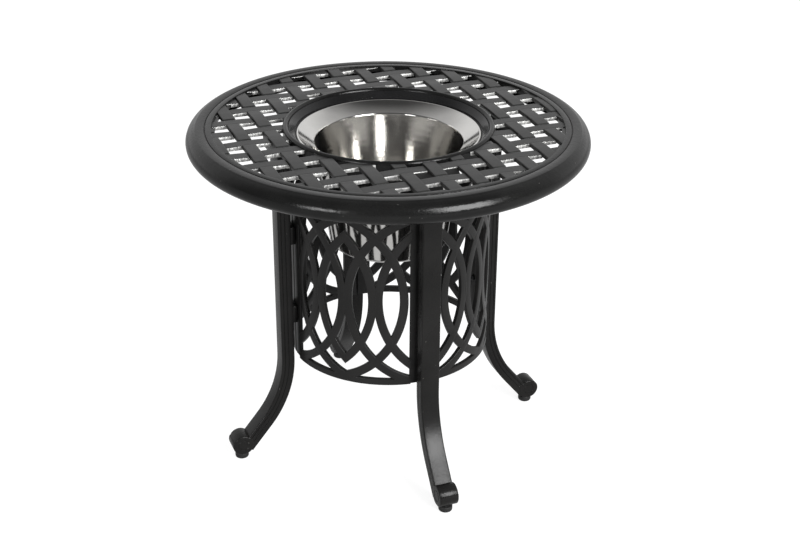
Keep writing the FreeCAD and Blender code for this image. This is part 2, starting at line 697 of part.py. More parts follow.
def copies(label, body, places):
    """One node of equal, separate fasteners: links to one body, each put in its own place."""
    links = []
    for number, (angle, out, across, up) in enumerate(places):
        turn = math.radians(angle)
        c, s = round(math.cos(turn)), round(math.sin(turn))
        link = doc.addObject("App::Link", "%s_%d" % (label, number))
        link.LinkedObject = body
        link.Placement = FreeCAD.Placement(Vec(0, 0, 0), FreeCAD.Rotation(Vec(0, 0, 1), angle))
        bind(link, Placement__Base__x=out * c - across * s, Placement__Base__y=out * s + across * c,
             Placement__Base__z=up)
        links.append(link)
    node = doc.addObject("Part::Compound", label)
    node.Label = label
    node.Links = links
    nodes.append(node)


def hexagon(body, name, across, role, lift):
    radius = across / math.sqrt(3)
    corners = []
    for step in range(6):
        turn = math.radians(60 * step)
        corners.append((radius * math.cos(turn), radius * math.sin(turn)))
    return outline(body, name, role, corners, lift=lift)


# Skirt screws: button heads inside the skirt, shanks out through the end bar into the boss. One
# screw is turned about its own axis along X, with the head's seat at X = 0.
screw = new_body("skirt_screw")
head_r = S["skirt_screw_head"] / 2
shank_r = S["skirt_screw"] / 2
cap = S["skirt_screw_cap"]
screw_long = S["skirt_screw_long"]
screw_points = [
    (-cap, 0),
    (screw_long, 0),
    (screw_long, shank_r - 0.5),
    (screw_long - 0.5, shank_r),
    (0, shank_r),
    (0, head_r),
    (cap * -0.6, head_r),
    (-cap, head_r - cap * 0.5),
]
turned = screw.newObject("PartDesign::Revolution", "skirt_screw_turned")
turned.Profile = outline(screw, "skirt_screw_outline", "XZ_Plane", screw_points)
turned.ReferenceAxis = (turned.Profile[0], ["H_Axis"])
turned.Angle = 360
doc.recompute()
plain_volume = screw.Shape.Volume
key = screw.newObject("PartDesign::Pocket", "skirt_screw_key")
key.Profile = hexagon(screw, "skirt_screw_hexagon", S["skirt_screw_key"], "YZ_Plane", -cap)
bind(key, Length=cap * 0.55)
doc.recompute()
if screw.Shape.Volume > plain_volume - 1:
    key.Reversed = True
    doc.recompute()
far_side = S["skirt_screw_side"] + head_r
skirt_inner = S["skirt_radius"] - S["skirt_wall"]
seat_flat = Size(math.sqrt(skirt_inner.value ** 2 - far_side.value ** 2),
                 "sqrt(pow(%s; 2) - pow(%s; 2))" % (skirt_inner.text, far_side.text))
places = []
for place, angle in LEGS:
    for side in (-1, 1):
        for height in (S["boss_low"], S["boss_high"]):
            places.append((angle, seat_flat, S["skirt_screw_side"] * side, height))
copies("skirt_screws", screw, places)

# Leg bolts and washers, pushed up through the flange into the cast pad. A bolt's origin is the
# middle of the face under its head.
bolt = new_body("leg_bolt")
head = bolt.newObject("PartDesign::Pad", "leg_bolt_head")
head.Profile = hexagon(bolt, "leg_bolt_hexagon", S["leg_bolt_head"], "XY_Plane", -S["leg_bolt_cap"])
bind(head, Length=S["leg_bolt_cap"])
rod = bolt.newObject("PartDesign::AdditiveCylinder", "leg_bolt_rod")
bind(rod, Radius=S["leg_bolt"] / 2, Height=S["leg_bolt_long"] + S["leg_bolt_cap"] / 2)
put(rod, z=-S["leg_bolt_cap"] / 2)
washer = new_body("leg_bolt_washer")
disk = washer.newObject("PartDesign::AdditiveCylinder", "leg_bolt_washer_disk")
bind(disk, Radius=S["washer_radius"], Height=S["washer_wall"])
eye = washer.newObject("PartDesign::SubtractiveCylinder", "leg_bolt_washer_eye")
bind(eye, Radius=S["leg_bolt"] / 2 + S["hole_gap"] / 2, Height=S["washer_wall"] + 2)
put(eye, z=-1)
bolt_seat = leg_top - S["flange_wall"] - S["washer_wall"]
places = []
for place, angle in LEGS:
    for side in (-1, 1):
        places.append((angle, flange_out, S["leg_bolt_side"] * side, bolt_seat))
copies("leg_bolts", bolt, places)
copies("leg_bolt_washers", washer, places)

# Levelling glides: a domed pad on a threaded stud that screws up into the toe.
neck_top = S["toe_flat"] - S["glide_seat"]
glide_points = [
    (0, 0),
    (S["glide_radius"] - S["glide_dome"], 0, S["glide_dome"]),
    (S["glide_radius"], S["glide_dome"]),
    (S["glide_radius"], S["glide_high"] - 1),
    (S["glide_radius"] - 1, S["glide_high"]),
    (S["glide_neck"], S["glide_high"]),
    (S["glide_neck"], neck_top),
    (S["stud_radius"] + S["thread_gap"], neck_top),
    (S["stud_radius"] + S["thread_gap"], S["stud_foot"]),
    (0, S["stud_foot"]),
]
for place, angle in LEGS:
    turn = math.radians(angle)
    spot = Vec(toe_r.value * math.cos(turn), toe_r.value * math.sin(turn), 0)
    pad = new_body("glide_pad_" + place)
    revolve(pad, pad.Label + "_turned", outline(pad, pad.Label + "_outline", "XZ_Plane", glide_points))
    pad.Placement = FreeCAD.Placement(spot, FreeCAD.Rotation())
    stud = new_body("glide_stud_" + place)
    rod = stud.newObject("PartDesign::AdditiveCylinder", stud.Label + "_rod")
    bind(rod, Radius=S["stud_radius"], Height=S["stud_long"])
    put(rod, z=S["stud_foot"])
    stud.Placement = FreeCAD.Placement(spot, FreeCAD.Rotation())
    for thing in (pad, stud):
        bind(thing, Placement__Base__x=toe_r * math.cos(turn), Placement__Base__y=toe_r * math.sin(turn))
        nodes.append(thing)

doc.recompute()

# Nothing is written unless every object is sound.
for thing in doc.Objects:
    if "Invalid" in thing.State or "Error" in thing.State:
        raise SystemExit("%s failed: %s" % (thing.Name, thing.State))
for node in nodes:
    shape = node.Shape
    if shape.isNull() or not shape.isValid():
        raise SystemExit("%s has no sound shape" % node.Label)
    if not shape.Solids:
        raise SystemExit("%s has no solid" % node.Label)
os.makedirs("parts", exist_ok=True)
for node in nodes:
    node.Shape.exportStep("parts/%s.step" % node.Label)
    print(node.Label, len(node.Shape.Solids), "solids", round(node.Shape.Volume, 1), "mm3")
print(len(nodes), "nodes")
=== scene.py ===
import math
import bmesh
import bpy
from mathutils import Matrix, Vector, noise


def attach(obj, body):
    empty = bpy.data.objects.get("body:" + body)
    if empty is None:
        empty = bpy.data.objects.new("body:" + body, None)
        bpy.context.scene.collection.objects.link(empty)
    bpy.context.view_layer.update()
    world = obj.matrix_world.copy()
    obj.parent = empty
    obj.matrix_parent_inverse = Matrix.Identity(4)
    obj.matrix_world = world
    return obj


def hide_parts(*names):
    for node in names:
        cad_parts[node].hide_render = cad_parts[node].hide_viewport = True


# A round patio table of cast aluminium, with a basket-weave top, a steel ice bucket in its middle,
# four curved legs and a pierced skirt. Sizes of pieces are written in millimetres and made metres
# by MM. The floor is at height 0, +Z is up and -Y is the side of the front leg.
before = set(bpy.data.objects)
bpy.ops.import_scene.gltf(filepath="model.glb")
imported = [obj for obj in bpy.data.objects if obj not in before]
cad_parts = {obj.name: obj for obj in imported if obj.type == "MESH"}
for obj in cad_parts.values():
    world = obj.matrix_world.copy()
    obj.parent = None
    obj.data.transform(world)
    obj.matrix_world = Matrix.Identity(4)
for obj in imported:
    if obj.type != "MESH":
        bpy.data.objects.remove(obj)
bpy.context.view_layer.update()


# Camera. It stands in front of the table and a little to its left, 1.2 m above the floor, and looks
# down at the woven top. The shift frames the table as the photograph does.
CAMERA_PLACE = (-0.67154, -1.79480, 1.22573)
CAMERA_HEADING = math.radians(22.017)
CAMERA_DIP = math.radians(27.451)
CAMERA_ROLL = math.radians(0.857)
CAMERA_SENSOR = 36
CAMERA_LENS = 66.15
CAMERA_SHIFT = (-0.02828, 0.03421)
scene = bpy.context.scene
lens = bpy.data.cameras.new("camera")
lens.sensor_width = CAMERA_SENSOR
lens.lens = CAMERA_LENS
lens.shift_x, lens.shift_y = CAMERA_SHIFT
camera = bpy.data.objects.new("camera", lens)
scene.collection.objects.link(camera)
aim = Matrix.Rotation(-CAMERA_HEADING, 4, "Z") @ Matrix.Rotation(math.pi / 2 - CAMERA_DIP, 4, "X")
camera.matrix_world = Matrix.Translation(CAMERA_PLACE) @ aim @ Matrix.Rotation(CAMERA_ROLL, 4, "Z")
scene.camera = camera
scene.view_settings.view_transform = "Standard"


# Studio. A wide white floor that keeps a faint shadow, a white wall behind that metal reflects, a
# large soft box at the right front, a small one at the left front and an even fill from above.
def wired(tree, made, inputs):
    """Give a node its inputs: constants, or sockets of other nodes."""
    for place, value in inputs.items():
        if isinstance(value, bpy.types.NodeSocket):
            tree.links.new(value, made.inputs[place])
        else:
            made.inputs[place].default_value = value


def node(tree, kind, inputs=None, out=0, **settings):
    """Add a node with its settings and inputs; one of its outputs comes back."""
    made = tree.nodes.new(kind)
    for key, value in settings.items():
        setattr(made, key, value)
    wired(tree, made, inputs or {})
    return made.outputs[out] if made.outputs else made


def calc(tree, operation, first, second=0.0, clamp=False):
    """A Math node of a shader or geometry tree."""
    return node(tree, "ShaderNodeMath", {0: first, 1: second}, operation=operation, use_clamp=clamp)


def ramp(tree, value, low, high, start=0.0, stop=1.0):
    """Carry a value from between low and high to between start and stop, and hold it there."""
    return node(tree, "ShaderNodeMapRange", {0: value, 1: low, 2: high, 3: start, 4: stop})


def seen_directly(tree, gloss=1.0):
    """1 for rays from the camera or through glass, gloss for rays off a shiny skin, 0 for light."""
    path = node(tree, "ShaderNodeLightPath").node
    shiny = calc(tree, "MULTIPLY", path.outputs["Is Glossy Ray"], gloss)
    metal = calc(tree, "MAXIMUM", shiny, path.outputs["Is Transmission Ray"])
    return calc(tree, "MAXIMUM", path.outputs["Is Camera Ray"], metal)


WHITE = (1, 1, 1, 1)
WORLD_TOP = 0.95
WORLD_SIDE = 0.75
WORLD_RISE = 0.9
WALL_BEHIND = 0.82
WALL_BEFORE = 0.15
WALL_EDGES = (-0.1, 0.4)
CEILING = 0.35
CEILING_EDGES = (0.42, 0.97)
world = bpy.data.worlds.new("studio")
scene.world = world
world.use_nodes = True
sky = world.node_tree
sky.nodes.clear()
direction = node(sky, "ShaderNodeTexCoord", out="Generated")
parts = node(sky, "ShaderNodeSeparateXYZ", {0: direction}).node
height = parts.outputs["Z"]
glow = ramp(sky, height, 0.0, WORLD_RISE, WORLD_SIDE, WORLD_TOP)
soft = node(sky, "ShaderNodeBackground", {"Color": WHITE, "Strength": glow})
# shiny skins see the white wall behind the table, a dim one before it and a dim ceiling
away = calc(sky, "ADD", calc(sky, "MULTIPLY", parts.outputs["X"], math.sin(CAMERA_HEADING)),
            calc(sky, "MULTIPLY", parts.outputs["Y"], math.cos(CAMERA_HEADING)))
wall = ramp(sky, away, *WALL_EDGES, WALL_BEFORE, WALL_BEHIND)
roofed = ramp(sky, height, *CEILING_EDGES, 1.0, CEILING)
mirrored = calc(sky, "MULTIPLY", wall, roofed)
shiny = node(sky, "ShaderNodeLightPath", out="Is Glossy Ray")
strength = node(sky, "ShaderNodeMix", {0: shiny, 2: 1.0, 3: mirrored})
white = node(sky, "ShaderNodeBackground", {"Color": WHITE, "Strength": strength})
both = node(sky, "ShaderNodeMixShader", {0: seen_directly(sky), 1: soft, 2: white})
node(sky, "ShaderNodeOutputWorld", {0: both})

FLOOR_RADIUS = 14.0
FLOOR_SIDES = 96
FLOOR_GLOW = 0.80
FLOOR_SHADOW = 0.26
FLOOR_BOUNCE = 0.16
FLOOR_GLOSS = 0.35
floor_mesh = bpy.data.meshes.new("floor")
floor_builder = bmesh.new()
bmesh.ops.create_circle(floor_builder, cap_ends=True, segments=FLOOR_SIDES, radius=FLOOR_RADIUS)
floor_builder.to_mesh(floor_mesh)
floor_builder.free()
floor = bpy.data.objects.new("floor", floor_mesh)
scene.collection.objects.link(floor)
floor_paint = bpy.data.materials.new("floor_white")
floor_paint.use_nodes = True
tree = floor_paint.node_tree
tree.nodes.clear()
glowing = node(tree, "ShaderNodeEmission", {"Color": WHITE, "Strength": FLOOR_GLOW})
catching = node(tree, "ShaderNodeBsdfDiffuse", {"Color": (FLOOR_SHADOW,) * 3 + (1,)})
shown = node(tree, "ShaderNodeAddShader", {0: glowing, 1: catching})
dull = node(tree, "ShaderNodeBsdfDiffuse", {"Color": (FLOOR_BOUNCE,) * 3 + (1,)})
node(tree, "ShaderNodeOutputMaterial",
     {0: node(tree, "ShaderNodeMixShader", {0: seen_directly(tree, FLOOR_GLOSS), 1: dull, 2: shown})})
floor_mesh.materials.append(floor_paint)

LAMPS_AIM = (0, 0, 0.3)


def soft_box(name, place, wide, high, power, mirrored=True):
    """A rectangular lamp aimed at the middle of the table; mirrored lamps show in shiny skins."""
    lamp = bpy.data.lights.new(name, "AREA")
    lamp.shape = "RECTANGLE"
    lamp.size = wide
    lamp.size_y = high
    lamp.energy = power
    box = bpy.data.objects.new(name, lamp)
    scene.collection.objects.link(box)
    box.location = place
    box.visible_glossy = mirrored
    box.rotation_euler = (Vector(LAMPS_AIM) - Vector(place)).to_track_quat("-Z", "Y").to_euler()


soft_box("right_front_box", (0.80, -2.2, 1.3), wide=1.2, high=1.4, power=86)
soft_box("left_front_box", (-1.75, -1.25, 0.8), wide=0.6, high=0.5, power=13)
soft_box("overhead_fill", (0.1, 0.3, 2.6), wide=1.8, high=1.8, power=8, mirrored=False)


# Rim. The outer edge of the cast top: a hollow rolled edge and a flat band with one fine groove.
# It is one casting with the weave and the ring, and its powder coat has a fine orange peel.
def new_finish(name):
    """A new material with its node tree, its shader and the place on the piece that it colours."""
    paint = bpy.data.materials.new(name)
    paint.use_nodes = True
    tree = paint.node_tree
    return paint, tree, tree.nodes["Principled BSDF"], node(tree, "ShaderNodeTexCoord", out="Object")


def specks(tree, spot, scale, detail):
    """Fine random variation over a piece, about 0.3 to 0.7."""
    return node(tree, "ShaderNodeTexNoise", {"Vector": spot, "Scale": scale, "Detail": detail})


def tinted(tree, share, first, second):
    """A colour between two, each of them three numbers or the colour of another node."""
    ends = [c if isinstance(c, bpy.types.NodeSocket) else c + (1,) for c in (first, second)]
    return node(tree, "ShaderNodeMix", {0: share, 6: ends[0], 7: ends[1]}, out=2, data_type="RGBA")


def powder_coat(name, dark, light, rough, grain=1.0, dust=0.0, shine=0.3):
    """Baked powder coat: mottled charcoal, orange peel, and a few pale specks of dust."""
    paint, tree, shader, spot = new_finish(name)
    clouds = specks(tree, spot, 16.0, 5.0)
    flecks = specks(tree, spot, 950.0, 2.0)
    peel = specks(tree, spot, 520.0, 3.0)
    sand = specks(tree, spot, 130.0, 4.0)
    mottle = calc(tree, "ADD", calc(tree, "MULTIPLY", clouds, 0.6), calc(tree, "MULTIPLY", flecks, 0.4))
    colour = tinted(tree, ramp(tree, mottle, 0.36, 0.64), dark, light)
    if dust:
        motes = node(tree, "ShaderNodeTexVoronoi", {"Vector": spot, "Scale": 85.0})
        colour = tinted(tree, ramp(tree, motes, 0.045, 0.03, 0.0, dust), colour, (0.35, 0.34, 0.32))
    uneven = calc(tree, "ADD", calc(tree, "MULTIPLY", peel, 0.6), sand)
    bump = node(tree, "ShaderNodeBump", {"Strength": 0.5 * grain, "Distance": 0.0003, "Height": uneven})
    wired(tree, shader, {"Base Color": colour, "Specular IOR Level": shine, "Normal": bump,
                         "Roughness": ramp(tree, clouds, 0.3, 0.7, rough - 0.06, rough + 0.06)})
    return paint


def bow(across, up, radius, start, stop, steps):
    """Points of an arc in a profile, in millimetres, with angles in degrees from the outward side."""
    turns = [math.radians(start + (stop - start) * i / steps) for i in range(steps + 1)]
    return [(across + radius * math.cos(t), up + radius * math.sin(t)) for t in turns]


MM = 0.001
CAST_WAVES = 28.0


def placed(radius, turn, up):
    """A point at a radius and a height in millimetres, turned about the axis."""
    return Vector((radius * math.cos(turn), radius * math.sin(turn), up)) * MM


def skinned(builder, rings, looped=False, closed=True):
    """Faces from ring to ring; looped joins last to first, closed joins each ring's own ends."""
    nexts = rings[1:] + rings[:1] if looped else rings[1:]
    for here, there in zip(rings, nexts):
        for j in range(len(here) if closed else len(here) - 1):
            k = (j + 1) % len(here)
            builder.faces.new((here[j], here[k], there[k], there[j]))


def spun(name, profile, steps, uneven=0.0):
    """Turn a closed profile of (radius, height) about the axis; uneven is how far a cast skin dips."""
    builder = bmesh.new()
    rings = []
    for i in range(steps):
        turn = 2 * math.pi * i / steps
        ring = []
        for radius, up in profile:
            spot = placed(radius, turn, up)
            if uneven:
                dip = 0.5 + 0.5 * noise.noise(spot * CAST_WAVES)
                spot -= Vector((math.cos(turn), math.sin(turn), 0)) * dip * uneven * MM
            ring.append(builder.verts.new(spot))
        rings.append(ring)
    skinned(builder, rings, looped=True)
    return finished(name, builder)


def finished(name, builder, crease=32.0):
    """Close off a mesh: doubles merged, faces outward, smooth but for creases over that angle."""
    bmesh.ops.remove_doubles(builder, verts=builder.verts, dist=0.00001)
    bmesh.ops.dissolve_degenerate(builder, edges=builder.edges, dist=0.000005)
    bmesh.ops.recalc_face_normals(builder, faces=builder.faces)
    mesh = bpy.data.meshes.new(name)
    builder.to_mesh(mesh)
    builder.free()
    mesh.shade_smooth()
    mesh.set_sharp_from_angle(angle=math.radians(crease))
    return mesh


def fitted(name, mesh, body, slot, stands_for=(), paints=()):
    """Put a finished mesh in the scene as a piece that rides on a body."""
    for paint in paints:
        mesh.materials.append(paint)
    piece = bpy.data.objects.new(name, mesh)
    scene.collection.objects.link(piece)
    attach(piece, body)
    if stands_for:
        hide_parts(*stands_for)
    return piece


DECK = 496.0
TOP_RADIUS = 280.0
RIM_SHOULDER = 18.0
RIM_ROUND = 13.5
RIM_WALL = 5.0
RIM_TOP = DECK + 0.8
RIM_MIDDLE = TOP_RADIUS - RIM_SHOULDER
ROLL_MIDDLE = TOP_RADIUS - RIM_ROUND
RIM_AXIS = RIM_TOP - RIM_SHOULDER
RIM_EDGE = 266.4
RIM_TUCK = -130.0
RIM_DIP = 0.12
RIM_CUTS = 320
BAND_RADIUS = 244.5
BAND_SEAT = 5.0
BAND_WALL = 7.0
SLAT_WALL = 6.0
LINE_RADIUS = 253.5
LINE_HALF = 1.0
LINE_FLOOR = 0.2
LINE_DEPTH = 1.4
SOFT_EDGE = 0.5
# from the band's underside through the hollow of the roll, and back over its outer skin
rim_profile = [(BAND_RADIUS - BAND_SEAT, DECK - BAND_WALL), (RIM_MIDDLE, DECK - BAND_WALL)]
rim_profile += bow(RIM_MIDDLE, RIM_AXIS, RIM_SHOULDER - RIM_WALL, 80, 5, 12)
rim_profile += bow(ROLL_MIDDLE, RIM_AXIS, RIM_ROUND - RIM_WALL, 0, RIM_TUCK, 8)
rim_profile += bow(ROLL_MIDDLE, RIM_AXIS, RIM_ROUND, RIM_TUCK, -5, 16)
rim_profile += bow(RIM_MIDDLE, RIM_AXIS, RIM_SHOULDER, 0, 68, 20)
# the crisp edge of the band, then the groove and the band's inner edge
rim_profile += [(RIM_EDGE + 1.0, RIM_TOP - 0.5), (RIM_EDGE + 0.3, RIM_TOP - 0.12),
                (RIM_EDGE - 0.3, RIM_TOP)]
rim_profile += [(LINE_RADIUS + LINE_HALF + SOFT_EDGE, RIM_TOP),
                (LINE_RADIUS + LINE_HALF, RIM_TOP - 0.2),
                (LINE_RADIUS + LINE_FLOOR, RIM_TOP - LINE_DEPTH),
                (LINE_RADIUS - LINE_FLOOR, RIM_TOP - LINE_DEPTH),
                (LINE_RADIUS - LINE_HALF, RIM_TOP - 0.2),
                (LINE_RADIUS - LINE_HALF - SOFT_EDGE, RIM_TOP)]
rim_profile += bow(BAND_RADIUS + SOFT_EDGE, RIM_TOP - SOFT_EDGE, SOFT_EDGE, 90, 180, 4)
rim_profile += [(BAND_RADIUS, DECK - SLAT_WALL / 2), (BAND_RADIUS - BAND_SEAT, DECK - SLAT_WALL / 2)]
# The rim and the ring take a darker copy of the weave's powder coat: painted shade, as all three are one
# casting under one coat.
rim_coat_painted_shade = powder_coat("powder_coat_rim_painted_shade", (0.0045, 0.0045, 0.0045), (0.0090, 0.0090, 0.0088), 0.18,
                       grain=1.3, dust=0.3, shine=0.24)
fitted("top_rim", spun("top_rim", rim_profile, RIM_CUTS, uneven=RIM_DIP), "stand", "powder_coat",
       paints=[rim_coat_painted_shade])


# Ring round the hole. It has a rounded lip above the weave, a deep wall and an inner ledge that
# carries the collar. It is cast in one with the weave.
HOLE_RADIUS = 139.0
RING_WALL = 8.0
RING_RISE = 2.0
RING_DEPTH = 22.0
LEDGE = 7.0
LEDGE_WALL = 3.0
ROUND_CUTS = 256
lip_round = RING_WALL / 2
lip_base = DECK + RING_RISE - lip_round
ledge_top = DECK - RING_DEPTH + LEDGE_WALL
ring_profile = [(HOLE_RADIUS - LEDGE, DECK - RING_DEPTH), (HOLE_RADIUS + RING_WALL, DECK - RING_DEPTH)]
ring_profile += bow(HOLE_RADIUS + lip_round, lip_base, lip_round, 0, 180, 16)
ring_profile += [(HOLE_RADIUS, ledge_top), (HOLE_RADIUS - LEDGE, ledge_top)]
# the ring takes the rim's darker copy of the coat, which is painted shade
fitted("top_ring", spun("top_ring", ring_profile, ROUND_CUTS), "stand", "powder_coat",
       paints=[rim_coat_painted_shade])


# Pads. Four cast blocks under the slats, one over each leg, which take its bolts. They are cast in
# one with the weave.
def block(builder, low, high, soften):
    """A cast block between two corners, with its edges softened, in millimetres."""
    made = bmesh.ops.create_cube(builder, size=1.0)["verts"]
    low, high = Vector(low), Vector(high)
    for corner in made:
        mixed = [(low[k] + high[k]) / 2 + corner.co[k] * (high[k] - low[k]) for k in range(3)]
        corner.co = Vector(mixed) * MM
    edges = list(dict.fromkeys(e for v in made for e in v.link_edges))
    softened = bmesh.ops.bevel(builder, geom=edges, offset=soften * MM, segments=3, profile=0.5,
                               affect="EDGES")
    return list(dict.fromkeys(v for face in softened["faces"] for v in face.verts))


def turned(builder, verts, degrees, axis="Z"):
    """Turn part of a mesh in the making about an axis through the middle of the floor."""
    bmesh.ops.rotate(builder, verts=verts, cent=(0, 0, 0),
                     matrix=Matrix.Rotation(math.radians(degrees), 3, axis))


LEG_RADIUS = 159.0
FLANGE_SHIFT = 2.0
FLANGE_LONG = 66.0
FLANGE_DEEP = 19.0
PAD_WALL = 10.0
PAD_EDGE = 1.0
PAD_SOFT = 1.0
LEGS = {"right": 0.0, "back": 90.0, "left": 180.0, "front": -90.0}
leg_top = DECK - SLAT_WALL - PAD_WALL
flange_middle = LEG_RADIUS + FLANGE_SHIFT
cast_coat = powder_coat("powder_coat", (0.0115, 0.0115, 0.0113), (0.0195, 0.0195, 0.0192), 0.34)
pads = bmesh.new()
for angle in LEGS.values():
    deep, wide = FLANGE_DEEP / 2 + PAD_EDGE, FLANGE_LONG / 2 + PAD_EDGE
    made = block(pads, (flange_middle - deep, -wide, leg_top),
                 (flange_middle + deep, wide, DECK - SLAT_WALL / 2), PAD_SOFT)
    turned(pads, made, angle)
fitted("top_pads", finished("top_pads", pads), "stand", "powder_coat", paints=[cast_coat])


# Woven deck. Flat cast slats laid as a basket weave: each visible plate is level over its own
# crossing and slopes down to where it goes under the next slat. The long sides of the slats that
# run across the view are painted pale grey as painted light that these sides catch; the rest shows the
# coat.
WEAVE_PITCH = 40.6
SLAT_WIDTH = 18.0
SLAT_DIVE = 0.7
SLAT_DROP = 1.5
SLAT_ROUND = 0.8
CREVICE = 1.5
SLAT_CUTS_ACROSS = 13
SLAT_CUTS_ALONG = 27
SIDE_FACING = 0.9
WEAVE_REACH = 7
RING_MIDDLE = HOLE_RADIUS + RING_WALL / 2


def inputs_of(tree, sizes):
    """Give a geometry tree its named inputs and its mesh output; return the input sockets."""
    tree.interface.new_socket("Geometry", in_out="OUTPUT", socket_type="NodeSocketGeometry")
    for name, value in sizes.items():
        kind = "NodeSocketMaterial" if isinstance(value, bpy.types.Material) else "NodeSocketFloat"
        if name == "Piece":
            kind = "NodeSocketObject"
        tree.interface.new_socket(name, in_out="INPUT", socket_type=kind)
    return tree.nodes.new("NodeGroupInput").outputs


def grown(name, tree, sizes):
    """Run a geometry tree once with its inputs and return the result as a plain mesh."""
    holder = bpy.data.objects.new(name + "_maker", bpy.data.meshes.new(name + "_maker"))
    scene.collection.objects.link(holder)
    maker = holder.modifiers.new("maker", "NODES")
    maker.node_group = tree
    for item in tree.interface.items_tree:
        if item.in_out == "INPUT":
            maker[item.identifier] = sizes[item.name]
    shape = holder.evaluated_get(bpy.context.evaluated_depsgraph_get())
    mesh = bpy.data.meshes.new_from_object(shape)
    holder.modifiers.remove(maker)
    bpy.data.objects.remove(holder)
    return mesh


def places_in(tree):
    """The x, y and z of each point of a geometry."""
    here = node(tree, "ShaderNodeSeparateXYZ", {0: node(tree, "GeometryNodeInputPosition")}).node
    return [here.outputs[k] for k in range(3)]


def xyz(tree, x=0.0, y=0.0, z=0.0):
    """A vector of three numbers or sockets."""
    return node(tree, "ShaderNodeCombineXYZ", {0: x, 1: y, 2: z})


def weave_tree():
    """Plates of the basket weave, in metres, before they are trimmed to the round top."""
    tree = bpy.data.node_groups.new("basket_weave", "GeometryNodeTree")
    given = inputs_of(tree, weave_sizes)

    def part(operation, first, second=0.0, clamp=False):
        return calc(tree, operation, first, second, clamp)

    half_width = part("MULTIPLY", given["Slat Width"], 0.5)
    half_plate = part("SUBTRACT", given["Pitch"], half_width)
    # one plate: a finely cut block, crowded towards its edges and shaped by its own x and y
    blank = node(tree, "GeometryNodeMeshCube", {"Vertices X": SLAT_CUTS_ACROSS,
                                                "Vertices Y": SLAT_CUTS_ALONG, "Vertices Z": 2})
    x, y, z = places_in(tree)
    across = part("MULTIPLY", part("SINE", part("MULTIPLY", x, math.pi)), half_width)
    along = part("MULTIPLY", part("SINE", part("MULTIPLY", y, math.pi)), half_plate)
    from_side = part("SUBTRACT", half_width, part("ABSOLUTE", across))
    into_round = part("SUBTRACT", 1.0, part("DIVIDE", from_side, given["Edge Round"]), clamp=True)
    rounding = part("SUBTRACT", 1.0, part("SQRT", part("SUBTRACT", 1.0, part("POWER", into_round, 2.0))))
    edge_drop = part("MULTIPLY", rounding, given["Edge Round"])
    past_cross = part("MAXIMUM", part("SUBTRACT", part("ABSOLUTE", along), half_width), 0.0)
    slope = part("DIVIDE", past_cross, part("SUBTRACT", half_plate, half_width))
    slope_drop = part("MULTIPLY", slope, given["Dive"])
    from_end = part("SUBTRACT", half_plate, part("ABSOLUTE", along))
    at_end = part("SUBTRACT", 1.0, part("DIVIDE", from_end, given["Crevice"]), clamp=True)
    end_drop = part("MULTIPLY", part("POWER", at_end, 2.0), given["Crevice"])
    lowered = part("ADD", part("ADD", edge_drop, slope_drop), end_drop)
    upper = part("GREATER_THAN", z, 0.0)
    above = part("MULTIPLY", part("MULTIPLY", lowered, -1.0), upper)
    below = part("MULTIPLY", part("MULTIPLY", given["Slat Wall"], -1.0), part("SUBTRACT", 1.0, upper))
    spot = xyz(tree, across, along, part("ADD", above, below))
    plate = node(tree, "GeometryNodeSetPosition", {"Geometry": blank, "Position": spot})
    # crossings: a square grid, of which only those near the round deck are kept
    steps = 2 * WEAVE_REACH
    side = part("MULTIPLY", given["Pitch"], float(steps))
    grid = node(tree, "GeometryNodeMeshGrid",
                {"Size X": side, "Size Y": side, "Vertices X": steps + 1, "Vertices Y": steps + 1})
    where = node(tree, "GeometryNodeInputPosition")
    away = node(tree, "ShaderNodeVectorMath", {0: where}, out="Value", operation="LENGTH")
    too_far = part("GREATER_THAN", away, part("ADD", given["Outer Radius"], half_plate))
    too_near = part("LESS_THAN", away, part("SUBTRACT", given["Inner Radius"], half_plate))
    kept = node(tree, "GeometryNodeDeleteGeometry",
                {"Geometry": grid, "Selection": part("MAXIMUM", too_far, too_near)})
    cell_x, cell_y, _ = places_in(tree)
    count = part("ROUND", part("DIVIDE", part("ADD", cell_x, cell_y), given["Pitch"]))
    odd = part("FLOORED_MODULO", count, 2.0)
    both_ways = tree.nodes.new("GeometryNodeJoinGeometry")
    for crossing in (False, True):
        choice = odd if crossing else part("SUBTRACT", 1.0, odd)
        laid = node(tree, "GeometryNodeInstanceOnPoints",
                    {"Points": kept, "Selection": choice, "Instance": plate})
        laid.node.inputs["Rotation"].default_value = (0, 0, math.pi / 2 if crossing else 0)
        level = part("SUBTRACT", given["Deck Height"], given["Drop"] if crossing else 0.0)
        raised = node(tree, "GeometryNodeTranslateInstances",
                      {"Instances": laid, "Translation": xyz(tree, z=level)})
        solid = node(tree, "GeometryNodeRealizeInstances", {"Geometry": raised})
        coated = node(tree, "GeometryNodeSetMaterial", {"Geometry": solid, "Material": given["Coat"]})
        if crossing:
            # the long sides that face along Y get the pale painted light
            facing = node(tree, "ShaderNodeSeparateXYZ", {0: node(tree, "GeometryNodeInputNormal")}, out=1)
            sides = part("GREATER_THAN", part("ABSOLUTE", facing), SIDE_FACING)
            coated = node(tree, "GeometryNodeSetMaterial",
                          {"Geometry": coated, "Selection": sides, "Material": given["Side Painted Light"]})
        tree.links.new(coated, both_ways.inputs[0])
    node(tree, "NodeGroupOutput", {0: both_ways.outputs[0]})
    return tree


def slats_of(builder):
    """The separate plates of the woven mesh, each as a list of its vertices."""
    seen = set()
    for start in builder.verts:
        if start in seen:
            continue
        seen.add(start)
        plate, edge = [start], [start]
        while edge:
            corner = edge.pop()
            for link in corner.link_edges:
                other = link.other_vert(corner)
                if other not in seen:
                    seen.add(other)
                    plate.append(other)
                    edge.append(other)
        yield plate


